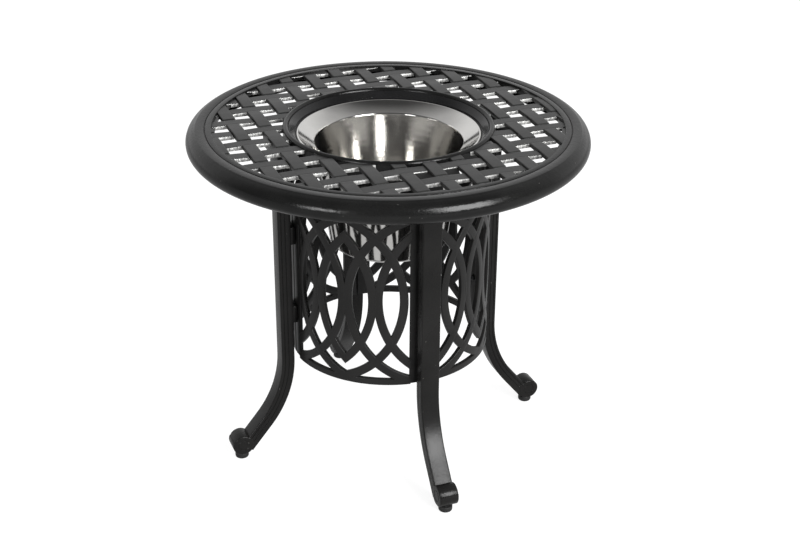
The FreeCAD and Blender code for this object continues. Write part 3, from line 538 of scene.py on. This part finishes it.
def trimmed(mesh):
    """Cut the plates off inside the ring's wall and inside the rim's band."""
    builder = bmesh.new()
    builder.from_mesh(mesh)
    builder.verts.ensure_lookup_table()
    inside, outside = RING_MIDDLE * MM, (BAND_RADIUS + BAND_SEAT) * MM
    for plate in list(slats_of(builder)):
        reach = [v.co.xy.length for v in plate]
        if min(reach) > outside or max(reach) < inside:
            bmesh.ops.delete(builder, geom=plate, context="VERTS")
            continue
        for radius, past in ((outside, max(reach) > outside), (inside, min(reach) < inside)):
            if not past:
                continue
            middle = sum((v.co for v in plate), Vector()) / len(plate)
            way = Vector((middle.x, middle.y, 0)).normalized()
            away = radius == outside
            whole = plate + list(dict.fromkeys(e for v in plate for e in v.link_edges))
            whole += dict.fromkeys(f for v in plate for f in v.link_faces)
            cut = bmesh.ops.bisect_plane(builder, geom=whole, plane_co=way * radius, plane_no=way,
                                         clear_outer=away, clear_inner=not away)
            rim = [e for e in cut["geom_cut"] if isinstance(e, bmesh.types.BMEdge)]
            bmesh.ops.holes_fill(builder, edges=rim, sides=0)
            break
    return builder


def lit_side_paint():
    """Painted light on the slats' long sides: pale grey metal with fine upright streaks."""
    metal, tree, shader, spot = new_finish("side_painted_light")
    thin = node(tree, "ShaderNodeMapping", {"Vector": spot, "Scale": (380.0, 380.0, 160.0)})
    streaks = specks(tree, thin, 1.0, 3.0)
    colour = tinted(tree, ramp(tree, streaks, 0.38, 0.64), (0.17, 0.17, 0.168), (0.52, 0.52, 0.505))
    bump = node(tree, "ShaderNodeBump", {"Strength": 0.4, "Distance": 0.0002, "Height": streaks})
    wired(tree, shader, {"Base Color": colour, "Metallic": 0.8, "Roughness": 0.42, "Normal": bump})
    return metal


weave_sizes = {
    "Pitch": WEAVE_PITCH * MM, "Slat Width": SLAT_WIDTH * MM, "Slat Wall": SLAT_WALL * MM,
    "Dive": SLAT_DIVE * MM, "Drop": SLAT_DROP * MM, "Edge Round": SLAT_ROUND * MM,
    "Crevice": CREVICE * MM, "Deck Height": DECK * MM, "Inner Radius": RING_MIDDLE * MM,
    # the slats' long sides get the pale grey that stands for painted light
    "Outer Radius": BAND_RADIUS * MM, "Coat": cast_coat, "Side Painted Light": lit_side_paint(),
}
woven = grown("top_weave", weave_tree(), weave_sizes)
paints = list(woven.materials)
weave_mesh = finished("top_weave", trimmed(woven), crease=40.0)
fitted("top_weave", weave_mesh, "stand", "powder_coat", ["table_top"], paints)


# Collar. A separate ring lines the hole: sloped inwards from the lip, a small step, and a seat on
# which the bucket hangs. It is turned smooth and coated gloss black.
COLLAR_GAP = 0.2
COLLAR_DROP = 1.6
COLLAR_LAND = 0.8
COLLAR_ROUND = 0.4
COLLAR_BEVEL = 0.3
SLOPE_IN = 7.8
SLOPE_DOWN = 8.0
STEP = 2.8
TREAD = 1.7
SEAT = 4.6
SEAT_WALL = 3.8
collar_out = HOLE_RADIUS - COLLAR_GAP
collar_top = DECK - COLLAR_DROP
land_in = collar_out - COLLAR_LAND - 0.2
slope_foot = collar_out - SLOPE_IN
slope_low = collar_top - SLOPE_DOWN
step_in = slope_foot - TREAD
step_low = slope_low - STEP
seat_top = ledge_top + SEAT_WALL
collar_profile = [(step_in - SEAT, ledge_top), (collar_out, ledge_top)]
collar_profile += bow(collar_out - COLLAR_ROUND, collar_top - COLLAR_ROUND, COLLAR_ROUND, 0, 90, 4)
collar_profile += [(land_in, collar_top), (land_in - COLLAR_BEVEL, collar_top - COLLAR_BEVEL),
                   (slope_foot + 0.4, slope_low + 0.4), (slope_foot, slope_low - 0.1),
                   (slope_foot, step_low + COLLAR_BEVEL), (slope_foot - COLLAR_BEVEL, step_low),
                   (step_in + COLLAR_BEVEL, step_low), (step_in, step_low - COLLAR_BEVEL),
                   (step_in, seat_top), (step_in - SEAT, seat_top)]
collar_gloss = powder_coat("collar_gloss", (0.006, 0.006, 0.0062), (0.011, 0.011, 0.0114), 0.2,
                           grain=0.25)
fitted("bucket_collar_turned", spun("bucket_collar_turned", collar_profile, ROUND_CUTS), "stand",
       "collar_gloss", ["bucket_collar"], [collar_gloss])


# Ice bucket. One deep-drawn stainless steel shell: a rolled hem that hangs on the collar's seat, a
# sloped polished flange and a tapered well with a rounded heel. It lifts out by hand.
HEM_GAP = 0.4
HEM_LIFT = 0.3
HEM_ROUND = 2.0
SHEET = 1.2
WELL_RADIUS = 104.6
WELL_DROP = 11.2
BASE_RADIUS = 84.6
BUCKET_DEPTH = 163.0
HEEL = 6.0
SHOULDER = 2.6
TAKE_OFF = 2.0
FLANGE_LIFT = 1.1
hem_middle = step_in - HEM_GAP - HEM_ROUND
hem_high = seat_top + HEM_LIFT + HEM_ROUND
base_low = hem_high - BUCKET_DEPTH
well_high = hem_high - WELL_DROP
well_low = well_high - SHEET
inner_well = WELL_RADIUS - SHEET


def steel(name, bright, rough, rings):
    """Polished stainless steel with faint turning lines round the axis and soft smears."""
    metal, tree, shader, spot = new_finish(name)
    lines = node(tree, "ShaderNodeTexWave", {"Vector": spot, "Scale": rings, "Distortion": 0.6,
                                            "Detail": 2.0}, out=1, wave_type="RINGS",
                 rings_direction="Z")
    smear = specks(tree, spot, 22.0, 5.0)
    dull = tuple(0.86 * part for part in bright)
    colour = tinted(tree, ramp(tree, smear, 0.3, 0.7), dull, bright)
    bump = node(tree, "ShaderNodeBump", {"Strength": 0.12, "Distance": 0.0001, "Height": lines})
    wired(tree, shader, {"Base Color": colour, "Metallic": 1.0, "Normal": bump,
                         "Roughness": ramp(tree, smear, 0.3, 0.7, rough * 0.7, rough * 1.3)})
    return metal


# up the outside of the well, round the hem and down the inside
bucket_profile = [(0.0, base_low)]
bucket_profile += bow(BASE_RADIUS - HEEL, base_low + HEEL, HEEL, -90, 0, 8)
bucket_profile += [(WELL_RADIUS - 0.3, well_low - 2.2), (WELL_RADIUS, well_low),
                   (WELL_RADIUS + TAKE_OFF, well_low + 0.7)]
bucket_profile += bow(hem_middle, hem_high, HEM_ROUND, -120, 150, 26)
bucket_profile += bow(inner_well + SHOULDER, well_high - SHOULDER + FLANGE_LIFT, SHOULDER, 112, 178, 7)
bucket_profile += bow(BASE_RADIUS - HEEL, base_low + HEEL, HEEL - SHEET, 0, -90, 8)
bucket_profile += [(0.0, base_low + SHEET)]
bucket_steel = steel("polished_steel", (0.78, 0.77, 0.75), 0.10, 260.0)
fitted("ice_bucket_shell", spun("ice_bucket_shell", bucket_profile, ROUND_CUTS), "bucket",
       "polished_steel", ["ice_bucket"], [bucket_steel])


# Legs. Four equal castings: a bar with lightly bevelled edges and two grooves down each side, which
# curves outwards and rolls up into a scrolled toe. A flange on top is bolted to the deck, and two
# bosses on the inner face hold the skirt.
LEG_DEEP = 18.8
LEG_WIDE = 27.3
LEG_EDGE = 2.0
LEG_INNER_EDGE = 1.0
CORNER_CUTS = 4
GROOVE_WIDE = 1.4
GROOVE_FLOOR = 0.4
GROOVE_ROUND = 0.25
GROOVE_DEEP = 0.8
GROOVE_OUT = 4.6
GROOVE_STEP = 5.6
BEND_HEIGHT = 158.5
BEND_RADIUS = 160.0
BEND_ANGLE = math.radians(39.2)
TAIL_LENGTH = 47.3
BAR_CUTS = 12
BEND_CUTS = 24
TAIL_CUTS = 4
TOE_RADIUS = 15.8
TOE_INSET = 2.0
TOE_SPARE = 0.35
TOE_FLAT = 12.0
TOE_CUTS = 96
CURL_RADIUS = 8.0
CURL_DEPTH = 0.5
SCROLL_RISE = 0.9
SCROLL_START = math.radians(24.0)
SCROLL_SHARE = 0.3
FLANGE_WALL = 8.0
FLANGE_SOFT = 1.2
BOSS_SOFT = 0.8
BOSS_ROOT = 1.5
BOSS_HALF = 13.0
BOSS_HEIGHTS = (229.0, 352.5)
SKIRT_RADIUS = 145.5
END_RECESS = 2.7
BOSS_GAP = 0.1
leg_half = LEG_WIDE / 2
bend_end = Vector((LEG_RADIUS + BEND_RADIUS * (1 - math.cos(BEND_ANGLE)), 0,
                   BEND_HEIGHT - BEND_RADIUS * math.sin(BEND_ANGLE)))
tail_end = bend_end + TAIL_LENGTH * Vector((math.sin(BEND_ANGLE), 0, -math.cos(BEND_ANGLE)))
toe_off = TOE_RADIUS + TOE_INSET - LEG_DEEP / 2
toe_middle = tail_end + toe_off * Vector((math.cos(BEND_ANGLE), 0, math.sin(BEND_ANGLE)))


def rounded(points):
    """Round the corners of a flat outline; each point is (x, y, radius of its corner)."""
    smooth = []
    for i, (x, y, radius) in enumerate(points):
        here = Vector((x, y))
        before = Vector(points[i - 1][:2]) - here
        after = Vector(points[(i + 1) % len(points)][:2]) - here
        if not radius:
            smooth.append(here)
            continue
        half = before.angle(after) / 2
        cut = radius / math.tan(half)
        first, last = here + before.normalized() * cut, here + after.normalized() * cut
        centre = here + (before.normalized() + after.normalized()).normalized() * radius / math.sin(half)
        for step in range(CORNER_CUTS + 1):
            spot = first.lerp(last, step / CORNER_CUTS) - centre
            smooth.append(centre + spot.normalized() * radius)
    return smooth


def bar_section():
    """Section of a leg's bar: x outwards from its middle line, y across."""
    deep = LEG_DEEP / 2
    side = [(-deep, -leg_half, LEG_INNER_EDGE)]
    wide, bottom = GROOVE_WIDE / 2, GROOVE_DEEP - leg_half
    for middle in (deep - GROOVE_OUT - GROOVE_STEP, deep - GROOVE_OUT):
        side += [(middle - wide, -leg_half, GROOVE_ROUND), (middle - wide * GROOVE_FLOOR, bottom, 0),
                 (middle + wide * GROOVE_FLOOR, bottom, 0), (middle + wide, -leg_half, GROOVE_ROUND)]
    side += [(deep, -leg_half, LEG_EDGE)]
    return rounded(side + [(x, -y, radius) for x, y, radius in reversed(side)])


def swept_bar(builder):
    """The bar along its line: straight down, round the bend and along the tail."""
    stations = [(Vector((LEG_RADIUS, 0, leg_top - (leg_top - BEND_HEIGHT) * i / BAR_CUTS)), 0.0)
                for i in range(BAR_CUTS + 1)]
    for i in range(1, BEND_CUTS + 1):
        turn = BEND_ANGLE * i / BEND_CUTS
        spot = Vector((LEG_RADIUS + BEND_RADIUS * (1 - math.cos(turn)), 0,
                       BEND_HEIGHT - BEND_RADIUS * math.sin(turn)))
        stations.append((spot, turn))
    stations += [(bend_end.lerp(tail_end, i / TAIL_CUTS), BEND_ANGLE) for i in range(1, TAIL_CUTS + 1)]
    section = bar_section()
    rings = []
    for spot, turn in stations:
        out = Vector((math.cos(turn), 0, math.sin(turn)))
        rings.append([builder.verts.new((spot + out * p.x + Vector((0, p.y, 0))) * MM) for p in section])
    skinned(builder, rings)
    builder.faces.new(rings[0])
    builder.faces.new(rings[-1])


def scrolled_toe(builder):
    """The rolled toe: its skin winds outwards to a lip on the outer face, with a curl on each side."""
    side = leg_half + TOE_SPARE
    across = [(0.0, side), (CURL_RADIUS - 0.9, side), (CURL_RADIUS - 0.4, side - CURL_DEPTH),
              (CURL_RADIUS + 0.4, side - CURL_DEPTH), (CURL_RADIUS + 0.9, side)]
    edge = [(-1.6, side), (-0.8, side - 0.2), (-0.25, side - 0.7), (0.0, side - 1.5)]
    rings = []
    for i in range(TOE_CUTS):
        turn = SCROLL_START + 2 * math.pi * i / TOE_CUTS
        wound = TOE_RADIUS - (SCROLL_RISE if i < TOE_CUTS * SCROLL_SHARE else 0.0)
        half = across + [(wound + r, y) for r, y in edge]
        line = half + [(r, -y) for r, y in reversed(half)]
        ring = []
        for radius, y in line:
            up = max(toe_middle.z + radius * math.sin(turn), TOE_FLAT)
            spot = Vector((toe_middle.x + radius * math.cos(turn), y, up))
            ring.append(builder.verts.new(spot * MM))
        rings.append(ring)
    skinned(builder, rings, looped=True, closed=False)


# The legs take a darker copy of the same powder coat: painted shade.
leg_coat_painted_shade = powder_coat("powder_coat_leg_painted_shade", (0.0060, 0.0059, 0.0057), (0.0108, 0.0105, 0.0102), 0.24,
                       grain=1.4, dust=0.5, shine=0.2)
flange_in = flange_middle - FLANGE_DEEP / 2
boss_face = SKIRT_RADIUS - END_RECESS + BOSS_GAP
boss_root = LEG_RADIUS - LEG_DEEP / 2 + BOSS_ROOT
for place, angle in LEGS.items():
    builder = bmesh.new()
    swept_bar(builder)
    scrolled_toe(builder)
    block(builder, (flange_in, -FLANGE_LONG / 2, leg_top - FLANGE_WALL),
          (flange_in + FLANGE_DEEP, FLANGE_LONG / 2, leg_top), FLANGE_SOFT)
    for boss in BOSS_HEIGHTS:
        block(builder, (boss_face, -BOSS_HALF, boss - BOSS_HALF),
              (boss_root, BOSS_HALF, boss + BOSS_HALF), BOSS_SOFT)
    turned(builder, builder.verts, angle)
    fitted("leg_%s_casting" % place, finished("leg_%s_casting" % place, builder), "stand",
           "powder_coat", ["leg_" + place], [leg_coat_painted_shade])


# Skirt. Four quarter shells round the bucket, cast as a lattice of crossing arcs between an upper
# and a lower band, with a set-back bar at each end that is screwed to the legs' bosses.
SKIRT_WALL = 6.0
SKIRT_LOW = 160.7
SKIRT_HIGH = 420.8
SKIRT_BAND = 9.5
LENS_PITCH = 44.2
LENS_HALF = 18.0
STRAND_RADIUS = 130.0
STRAND_WIDTH = 12.0
END_BAR = 20.5
PANEL_GAP = 2.0
STRAND_ROUND = 0.7
FIRST_ARC = 52.0
THIRD_ARC = 49.0
LONG_ARC = 72.0
ARC_CUTS = 150
RAIL_CUTS = 60
POST_CUTS = 40
POST_LAP = 1.0
quarter = SKIRT_RADIUS * math.pi / 2
# The skirt takes a darker copy of the same powder coat: painted shade.
skirt_coat_painted_shade = powder_coat("powder_coat_skirt_painted_shade", (0.0075, 0.0074, 0.0072), (0.0135, 0.0132, 0.0130), 0.32,
                         shine=0.25)
skirt_sizes = {
    "Radius": SKIRT_RADIUS * MM, "Wall": SKIRT_WALL * MM, "Height": (SKIRT_HIGH - SKIRT_LOW) * MM,
    "Middle Height": (SKIRT_HIGH + SKIRT_LOW) / 2 * MM, "Band": SKIRT_BAND * MM,
    "Oval Pitch": LENS_PITCH * MM, "Oval Half": LENS_HALF * MM, "Strand Radius": STRAND_RADIUS * MM,
    "Strand Width": STRAND_WIDTH * MM, "Edge Round": STRAND_ROUND * MM,
    "Field Half": (quarter / 2 - END_BAR) * MM, "Panel Half": (quarter - PANEL_GAP) / 2 * MM,
    "End Recess": END_RECESS * MM, "Angle": 0.0, "Coat": skirt_coat_painted_shade,
}


def lattice_tree():
    """One panel: laid out flat with x round the skirt and y up, then bent to the skirt's radius."""
    tree = bpy.data.node_groups.new("skirt_lattice", "GeometryNodeTree")
    given = inputs_of(tree, skirt_sizes)

    def part(operation, first, second=0.0):
        return calc(tree, operation, first, second)

    def profile(wide, thick):
        shape = node(tree, "GeometryNodeCurvePrimitiveQuadrilateral", {"Width": wide, "Height": thick})
        return node(tree, "GeometryNodeFilletCurve",
                    {"Curve": shape, "Radius": given["Edge Round"], "Count": 3}, mode="POLY")

    def along(curve, count, shape):
        even = node(tree, "GeometryNodeResampleCurve", {"Curve": curve, "Count": count})
        return node(tree, "GeometryNodeCurveToMesh", {"Curve": even, "Profile Curve": shape,
                                                      "Fill Caps": True})

    def held(mesh, axis, low, high, selection=True):
        """Move what lies past two limits along an axis back onto them."""
        parts = places_in(tree)
        parts[axis] = part("MINIMUM", part("MAXIMUM", parts[axis], low), high)
        return node(tree, "GeometryNodeSetPosition",
                    {"Geometry": mesh, "Selection": selection, "Position": xyz(tree, *parts)})

    centre = part("SUBTRACT", given["Strand Radius"], given["Oval Half"])
    arcs = (FIRST_ARC, LONG_ARC, THIRD_ARC, LONG_ARC)
    start = part("MULTIPLY", given["Oval Pitch"], (1 - len(arcs)) / 2)
    row = node(tree, "GeometryNodeMeshLine",
               {"Count": len(arcs), "Start Location": xyz(tree, part("SUBTRACT", start, centre)),
                "Offset": xyz(tree, given["Oval Pitch"])})
    strands = tree.nodes.new("GeometryNodeJoinGeometry")
    # the first arc ends at the end bar, the third at the panel's middle, the others in the bands
    for place, reach in enumerate(arcs):
        arc = node(tree, "GeometryNodeCurveArc", {"Resolution": ARC_CUTS, "Radius": given["Strand Radius"],
                                                  "Start Angle": math.radians(-reach),
                                                  "Sweep Angle": math.radians(2 * reach)})
        strand = along(arc, ARC_CUTS, profile(given["Strand Width"], given["Wall"]))
        here = node(tree, "FunctionNodeCompare", {2: node(tree, "GeometryNodeInputIndex"), 3: place},
                    data_type="INT", operation="EQUAL")
        laid = node(tree, "GeometryNodeInstanceOnPoints",
                    {"Points": row, "Selection": here, "Instance": strand})
        solid = node(tree, "GeometryNodeRealizeInstances", {"Geometry": laid})
        if reach == THIRD_ARC:
            solid = held(solid, 0, 0.0, 1.0)
        tree.links.new(solid, strands.inputs[0])
        other = node(tree, "GeometryNodeTransform", {"Geometry": solid, "Scale": (-1.0, 1.0, 1.0)})
        tree.links.new(other, strands.inputs[0])
    band_up = part("MULTIPLY", part("SUBTRACT", given["Height"], given["Band"]), 0.5)
    inside = held(strands.outputs[0], 0, part("MULTIPLY", given["Field Half"], -1.0), given["Field Half"])
    inside = held(inside, 1, part("MULTIPLY", band_up, -1.0), band_up)
    whole = tree.nodes.new("GeometryNodeJoinGeometry")
    tree.links.new(inside, whole.inputs[0])
    for sign in (-1.0, 1.0):
        level = part("MULTIPLY", band_up, sign)
        rail = node(tree, "GeometryNodeCurvePrimitiveLine",
                    {"Start": xyz(tree, part("MULTIPLY", given["Field Half"], -1.0), level),
                     "End": xyz(tree, given["Field Half"], level)})
        tree.links.new(along(rail, RAIL_CUTS, profile(given["Band"], given["Wall"])), whole.inputs[0])
        wide = part("ADD", part("SUBTRACT", given["Panel Half"], given["Field Half"]), POST_LAP * MM)
        spot = part("MULTIPLY", part("SUBTRACT", given["Panel Half"], part("MULTIPLY", wide, 0.5)), sign)
        low = part("MULTIPLY", given["Height"], -0.5)
        back = part("MULTIPLY", given["End Recess"], -0.5)
        high = part("MULTIPLY", low, -1.0)
        post = node(tree, "GeometryNodeCurvePrimitiveLine",
                    {"Start": xyz(tree, spot, low, back), "End": xyz(tree, spot, high, back)})
        thin = part("SUBTRACT", given["Wall"], given["End Recess"])
        tree.links.new(along(post, POST_CUTS, profile(wide, thin)), whole.inputs[0])
    flat_x, flat_y, flat_z = places_in(tree)
    turn = part("ADD", part("DIVIDE", flat_x, given["Radius"]), given["Angle"])
    depth = part("SUBTRACT", given["Radius"], part("MULTIPLY", given["Wall"], 0.5))
    reach = part("ADD", depth, flat_z)
    bent = xyz(tree, part("MULTIPLY", reach, part("SINE", turn)),
               part("MULTIPLY", reach, part("COSINE", turn)),
               part("ADD", flat_y, given["Middle Height"]))
    round_panel = node(tree, "GeometryNodeSetPosition", {"Geometry": whole.outputs[0], "Position": bent})
    coated = node(tree, "GeometryNodeSetMaterial", {"Geometry": round_panel, "Material": given["Coat"]})
    node(tree, "NodeGroupOutput", {0: coated})
    return tree


skirt_maker = lattice_tree()
PANELS = {"back_right": 45.0, "back_left": -45.0, "front_left": -135.0, "front_right": 135.0}
for place, angle in PANELS.items():
    skirt_sizes["Angle"] = math.radians(angle)
    raw = grown("skirt_" + place, skirt_maker, skirt_sizes)
    builder = bmesh.new()
    builder.from_mesh(raw)
    mesh = finished("skirt_%s_casting" % place, builder)
    fitted("skirt_%s_casting" % place, mesh, "stand", "powder_coat", ["skirt_" + place], [skirt_coat_painted_shade])


# Skirt screws. Black button heads with a hexagon key hole, from inside the skirt into the bosses.
# They are turned steel, two at each height on every leg.
SCREW_SHANK = 2.5
SCREW_HEAD = 4.5
SCREW_CAP = 3.2
SCREW_DOME = 2.3
SCREW_KEY = 1.5
KEY_DEEP = 1.4
FASTENER_CUTS = 48
SCREW_LONG = 18.0
SCREW_SIDE = 7.5


def bare_steel(name, dark, light, rough, metallic):
    """Plated or blackened steel with faint stains."""
    metal, tree, shader, spot = new_finish(name)
    stains = specks(tree, spot, 240.0, 4.0)
    wired(tree, shader, {"Base Color": tinted(tree, ramp(tree, stains, 0.35, 0.65), dark, light),
                         "Roughness": ramp(tree, stains, 0.3, 0.7, rough * 0.8, rough * 1.2),
                         "Metallic": metallic})
    return metal


def fastener(rows, steps=FASTENER_CUTS):
    """Turn rows of (radius, height, sides) about Z; six-sided rows give the distance across flats."""
    builder = bmesh.new()
    rings = []
    for radius, up, sides in rows:
        ring = []
        for i in range(steps):
            turn = 2 * math.pi * i / steps
            reach = radius
            if sides:
                part = 2 * math.pi / sides
                reach = radius / math.cos(turn % part - part / 2)
            ring.append(builder.verts.new(placed(reach, turn, up)))
        rings.append(ring)
    skinned(builder, rings)
    return builder


def copies_tree():
    """A pair of one fastener at each height, and the same again at every leg."""
    tree = bpy.data.node_groups.new("fastener_copies", "GeometryNodeTree")
    given = inputs_of(tree, screw_sizes)
    piece = node(tree, "GeometryNodeObjectInfo", {"Object": given["Piece"]}, out="Geometry")
    side = given["Side"]
    start = xyz(tree, given["Out"], calc(tree, "MULTIPLY", side, -1.0), given["Low"])
    apart = xyz(tree, y=calc(tree, "MULTIPLY", side, 2.0))
    pair = node(tree, "GeometryNodeMeshLine", {"Count": 2, "Start Location": start, "Offset": apart})
    laid = node(tree, "GeometryNodeInstanceOnPoints", {"Points": pair, "Instance": piece})
    column = node(tree, "GeometryNodeMeshLine",
                  {"Count": given["Rows"], "Offset": xyz(tree, z=given["Rise"])})
    stacked = node(tree, "GeometryNodeInstanceOnPoints", {"Points": column, "Instance": laid})
    spokes = node(tree, "GeometryNodeMeshLine", {"Count": len(LEGS), "Offset": (0.0, 0.0, 0.0)})
    quarter_turn = calc(tree, "MULTIPLY", node(tree, "GeometryNodeInputIndex"), math.pi / 2)
    ring = node(tree, "GeometryNodeInstanceOnPoints",
                {"Points": spokes, "Instance": stacked, "Rotation": xyz(tree, z=quarter_turn)})
    solid = node(tree, "GeometryNodeRealizeInstances", {"Geometry": ring})
    node(tree, "NodeGroupOutput", {0: node(tree, "GeometryNodeSetMaterial",
                                           {"Geometry": solid, "Material": given["Coat"]})})
    return tree


def copied(name, builder, sizes, slot, stands_for):
    """Lay copies of one fastener round the table as one piece that rides on the stand."""
    piece = bpy.data.objects.new(name + "_one", finished(name + "_one", builder))
    scene.collection.objects.link(piece)
    mesh = grown(name, copier, dict(sizes, Piece=piece))
    bpy.data.objects.remove(piece)
    fitted(name, mesh, "stand", slot, [stands_for])


seat_flat = math.sqrt((SKIRT_RADIUS - SKIRT_WALL) ** 2 - (SCREW_SIDE + SCREW_HEAD) ** 2)
screw_sizes = {
    "Piece": None, "Out": seat_flat * MM, "Side": SCREW_SIDE * MM, "Low": BOSS_HEIGHTS[0] * MM,
    "Rise": (BOSS_HEIGHTS[1] - BOSS_HEIGHTS[0]) * MM, "Rows": 2.0,
    "Coat": bare_steel("screw_black", (0.018, 0.018, 0.020), (0.035, 0.035, 0.037), 0.38, 0.7),
}
copier = copies_tree()
key_low = KEY_DEEP - SCREW_CAP
screw_rows = [(0.0, key_low, 6), (SCREW_KEY, key_low, 6), (SCREW_KEY, 0.15 - SCREW_CAP, 6)]
screw_rows += [(SCREW_KEY + 0.4, -SCREW_CAP, 0)]
for dome in range(0, 91, 15):
    screw_rows += [(SCREW_HEAD - SCREW_DOME + SCREW_DOME * math.sin(math.radians(dome)),
                    -SCREW_CAP + SCREW_DOME * (1 - math.cos(math.radians(dome))), 0)]
screw_rows += [(SCREW_HEAD, 0.0, 0), (SCREW_SHANK, 0.0, 0), (SCREW_SHANK, SCREW_LONG - 0.5, 0),
               (SCREW_SHANK - 0.5, SCREW_LONG, 0), (0.0, SCREW_LONG, 0)]
screw = fastener(screw_rows)
turned(screw, screw.verts, 90.0, "Y")
copied("skirt_screws_turned", screw, screw_sizes, "screw_black", "skirt_screws")


# Leg bolts and washers. Zinc-plated hexagon bolts go up through the flanges into the cast pads, each
# with a flat washer under its head.
BOLT_SHANK = 3.0
BOLT_HEAD = 5.0
BOLT_CAP = 4.0
BOLT_LONG = 17.0
BOLT_SIDE = 24.0
WASHER_RADIUS = 6.2
WASHER_WALL = 1.2
WASHER_EYE = 3.15
WASHER_SOFT = 0.2
zinc = bare_steel("zinc_steel", (0.42, 0.43, 0.44), (0.62, 0.63, 0.64), 0.32, 1.0)
bolt_seat = leg_top - FLANGE_WALL - WASHER_WALL
bolt_sizes = dict(screw_sizes, Out=flange_middle * MM, Side=BOLT_SIDE * MM, Low=bolt_seat * MM, Rise=0.0,
                  Rows=1.0, Coat=zinc)
bolt = fastener([(0.0, -BOLT_CAP, 0), (BOLT_HEAD * 0.92, -BOLT_CAP, 0), (BOLT_HEAD, 0.5 - BOLT_CAP, 6),
                 (BOLT_HEAD, -0.15, 6), (BOLT_HEAD * 0.96, 0.0, 0), (BOLT_SHANK, 0.0, 0),
                 (BOLT_SHANK, BOLT_LONG - 0.6, 0), (BOLT_SHANK - 0.6, BOLT_LONG, 0),
                 (0.0, BOLT_LONG, 0)])
copied("leg_bolts_forged", bolt, bolt_sizes, "zinc_steel", "leg_bolts")
washer_in = WASHER_RADIUS - WASHER_SOFT
washer = fastener([(WASHER_EYE, 0.0, 0), (washer_in, 0.0, 0), (WASHER_RADIUS, WASHER_SOFT, 0),
                   (WASHER_RADIUS, WASHER_WALL - WASHER_SOFT, 0), (washer_in, WASHER_WALL, 0),
                   (WASHER_EYE, WASHER_WALL, 0), (WASHER_EYE, 0.0, 0)])
copied("leg_bolt_washers_stamped", washer, bolt_sizes, "zinc_steel", "leg_bolt_washers")


# Levelling glides. A moulded pad of black plastic on a zinc-plated threaded stud, which is screwed
# up into each toe.
PAD_RADIUS = 10.0
PAD_HIGH = 8.6
PAD_DOME = 3.0
NECK_RADIUS = 5.6
NECK_TOP = 11.7
STUD_RADIUS = 4.0
STUD_FOOT = 3.6
STUD_LONG = 27.0
THREAD_PITCH = 1.25
THREAD_DEPTH = 0.65
THREAD_GAP = 0.05
THREAD_SPARE = 0.03
PAD_SHOULDER = 1.0
NECK_SOFT = 0.3
PAD_CUTS = 64
STUD_CUTS = 40
THREAD_CUTS = 8
glide_rows = [(0.0, 0.0, 0), (PAD_RADIUS - PAD_DOME, 0.0, 0)]
glide_rows += [(x, y, 0) for x, y in bow(PAD_RADIUS - PAD_DOME, PAD_DOME, PAD_DOME, -80, 0, 8)]
glide_rows += [(x, y, 0) for x, y in bow(PAD_RADIUS - PAD_SHOULDER, PAD_HIGH - PAD_SHOULDER,
                                             PAD_SHOULDER, 0, 90, 5)]
glide_rows += [(NECK_RADIUS, PAD_HIGH, 0), (NECK_RADIUS, NECK_TOP - NECK_SOFT, 0),
               (NECK_RADIUS - NECK_SOFT, NECK_TOP, 0), (STUD_RADIUS + THREAD_GAP, NECK_TOP, 0),
               (STUD_RADIUS + THREAD_GAP, STUD_FOOT, 0), (0.0, STUD_FOOT, 0)]
plastic = powder_coat("glide_plastic", (0.012, 0.012, 0.012), (0.020, 0.020, 0.020), 0.5, grain=0.6)


def threaded_rod(builder):
    """A rod with a cut thread that winds up it, closed at both ends."""
    levels = int(STUD_LONG / THREAD_PITCH * THREAD_CUTS)
    rings = []
    for j in range(levels + 1):
        up = STUD_LONG * j / levels
        ring = []
        for i in range(STUD_CUTS):
            turn = 2 * math.pi * i / STUD_CUTS
            wave = abs(2 * ((up / THREAD_PITCH - i / STUD_CUTS) % 1.0) - 1.0)
            radius = STUD_RADIUS - THREAD_SPARE - THREAD_DEPTH * wave
            ring.append(builder.verts.new(placed(radius, turn, STUD_FOOT + up)))
        rings.append(ring)
    skinned(builder, rings)
    builder.faces.new(rings[0])
    builder.faces.new(rings[-1])


for place, angle in LEGS.items():
    turn = Matrix.Rotation(math.radians(angle), 3, "Z")
    foot = turn @ Vector((toe_middle.x, 0, 0)) * MM
    pad = fastener(glide_rows, PAD_CUTS)
    stud = bmesh.new()
    threaded_rod(stud)
    for builder, name, slot, paint in ((pad, "glide_pad_", "glide_plastic", plastic),
                                       (stud, "glide_stud_", "zinc_steel", zinc)):
        bmesh.ops.translate(builder, verts=builder.verts, vec=foot)
        fitted(name + place + "_made", finished(name + place + "_made", builder), "glide_" + place,
               slot, [name + place], [paint])
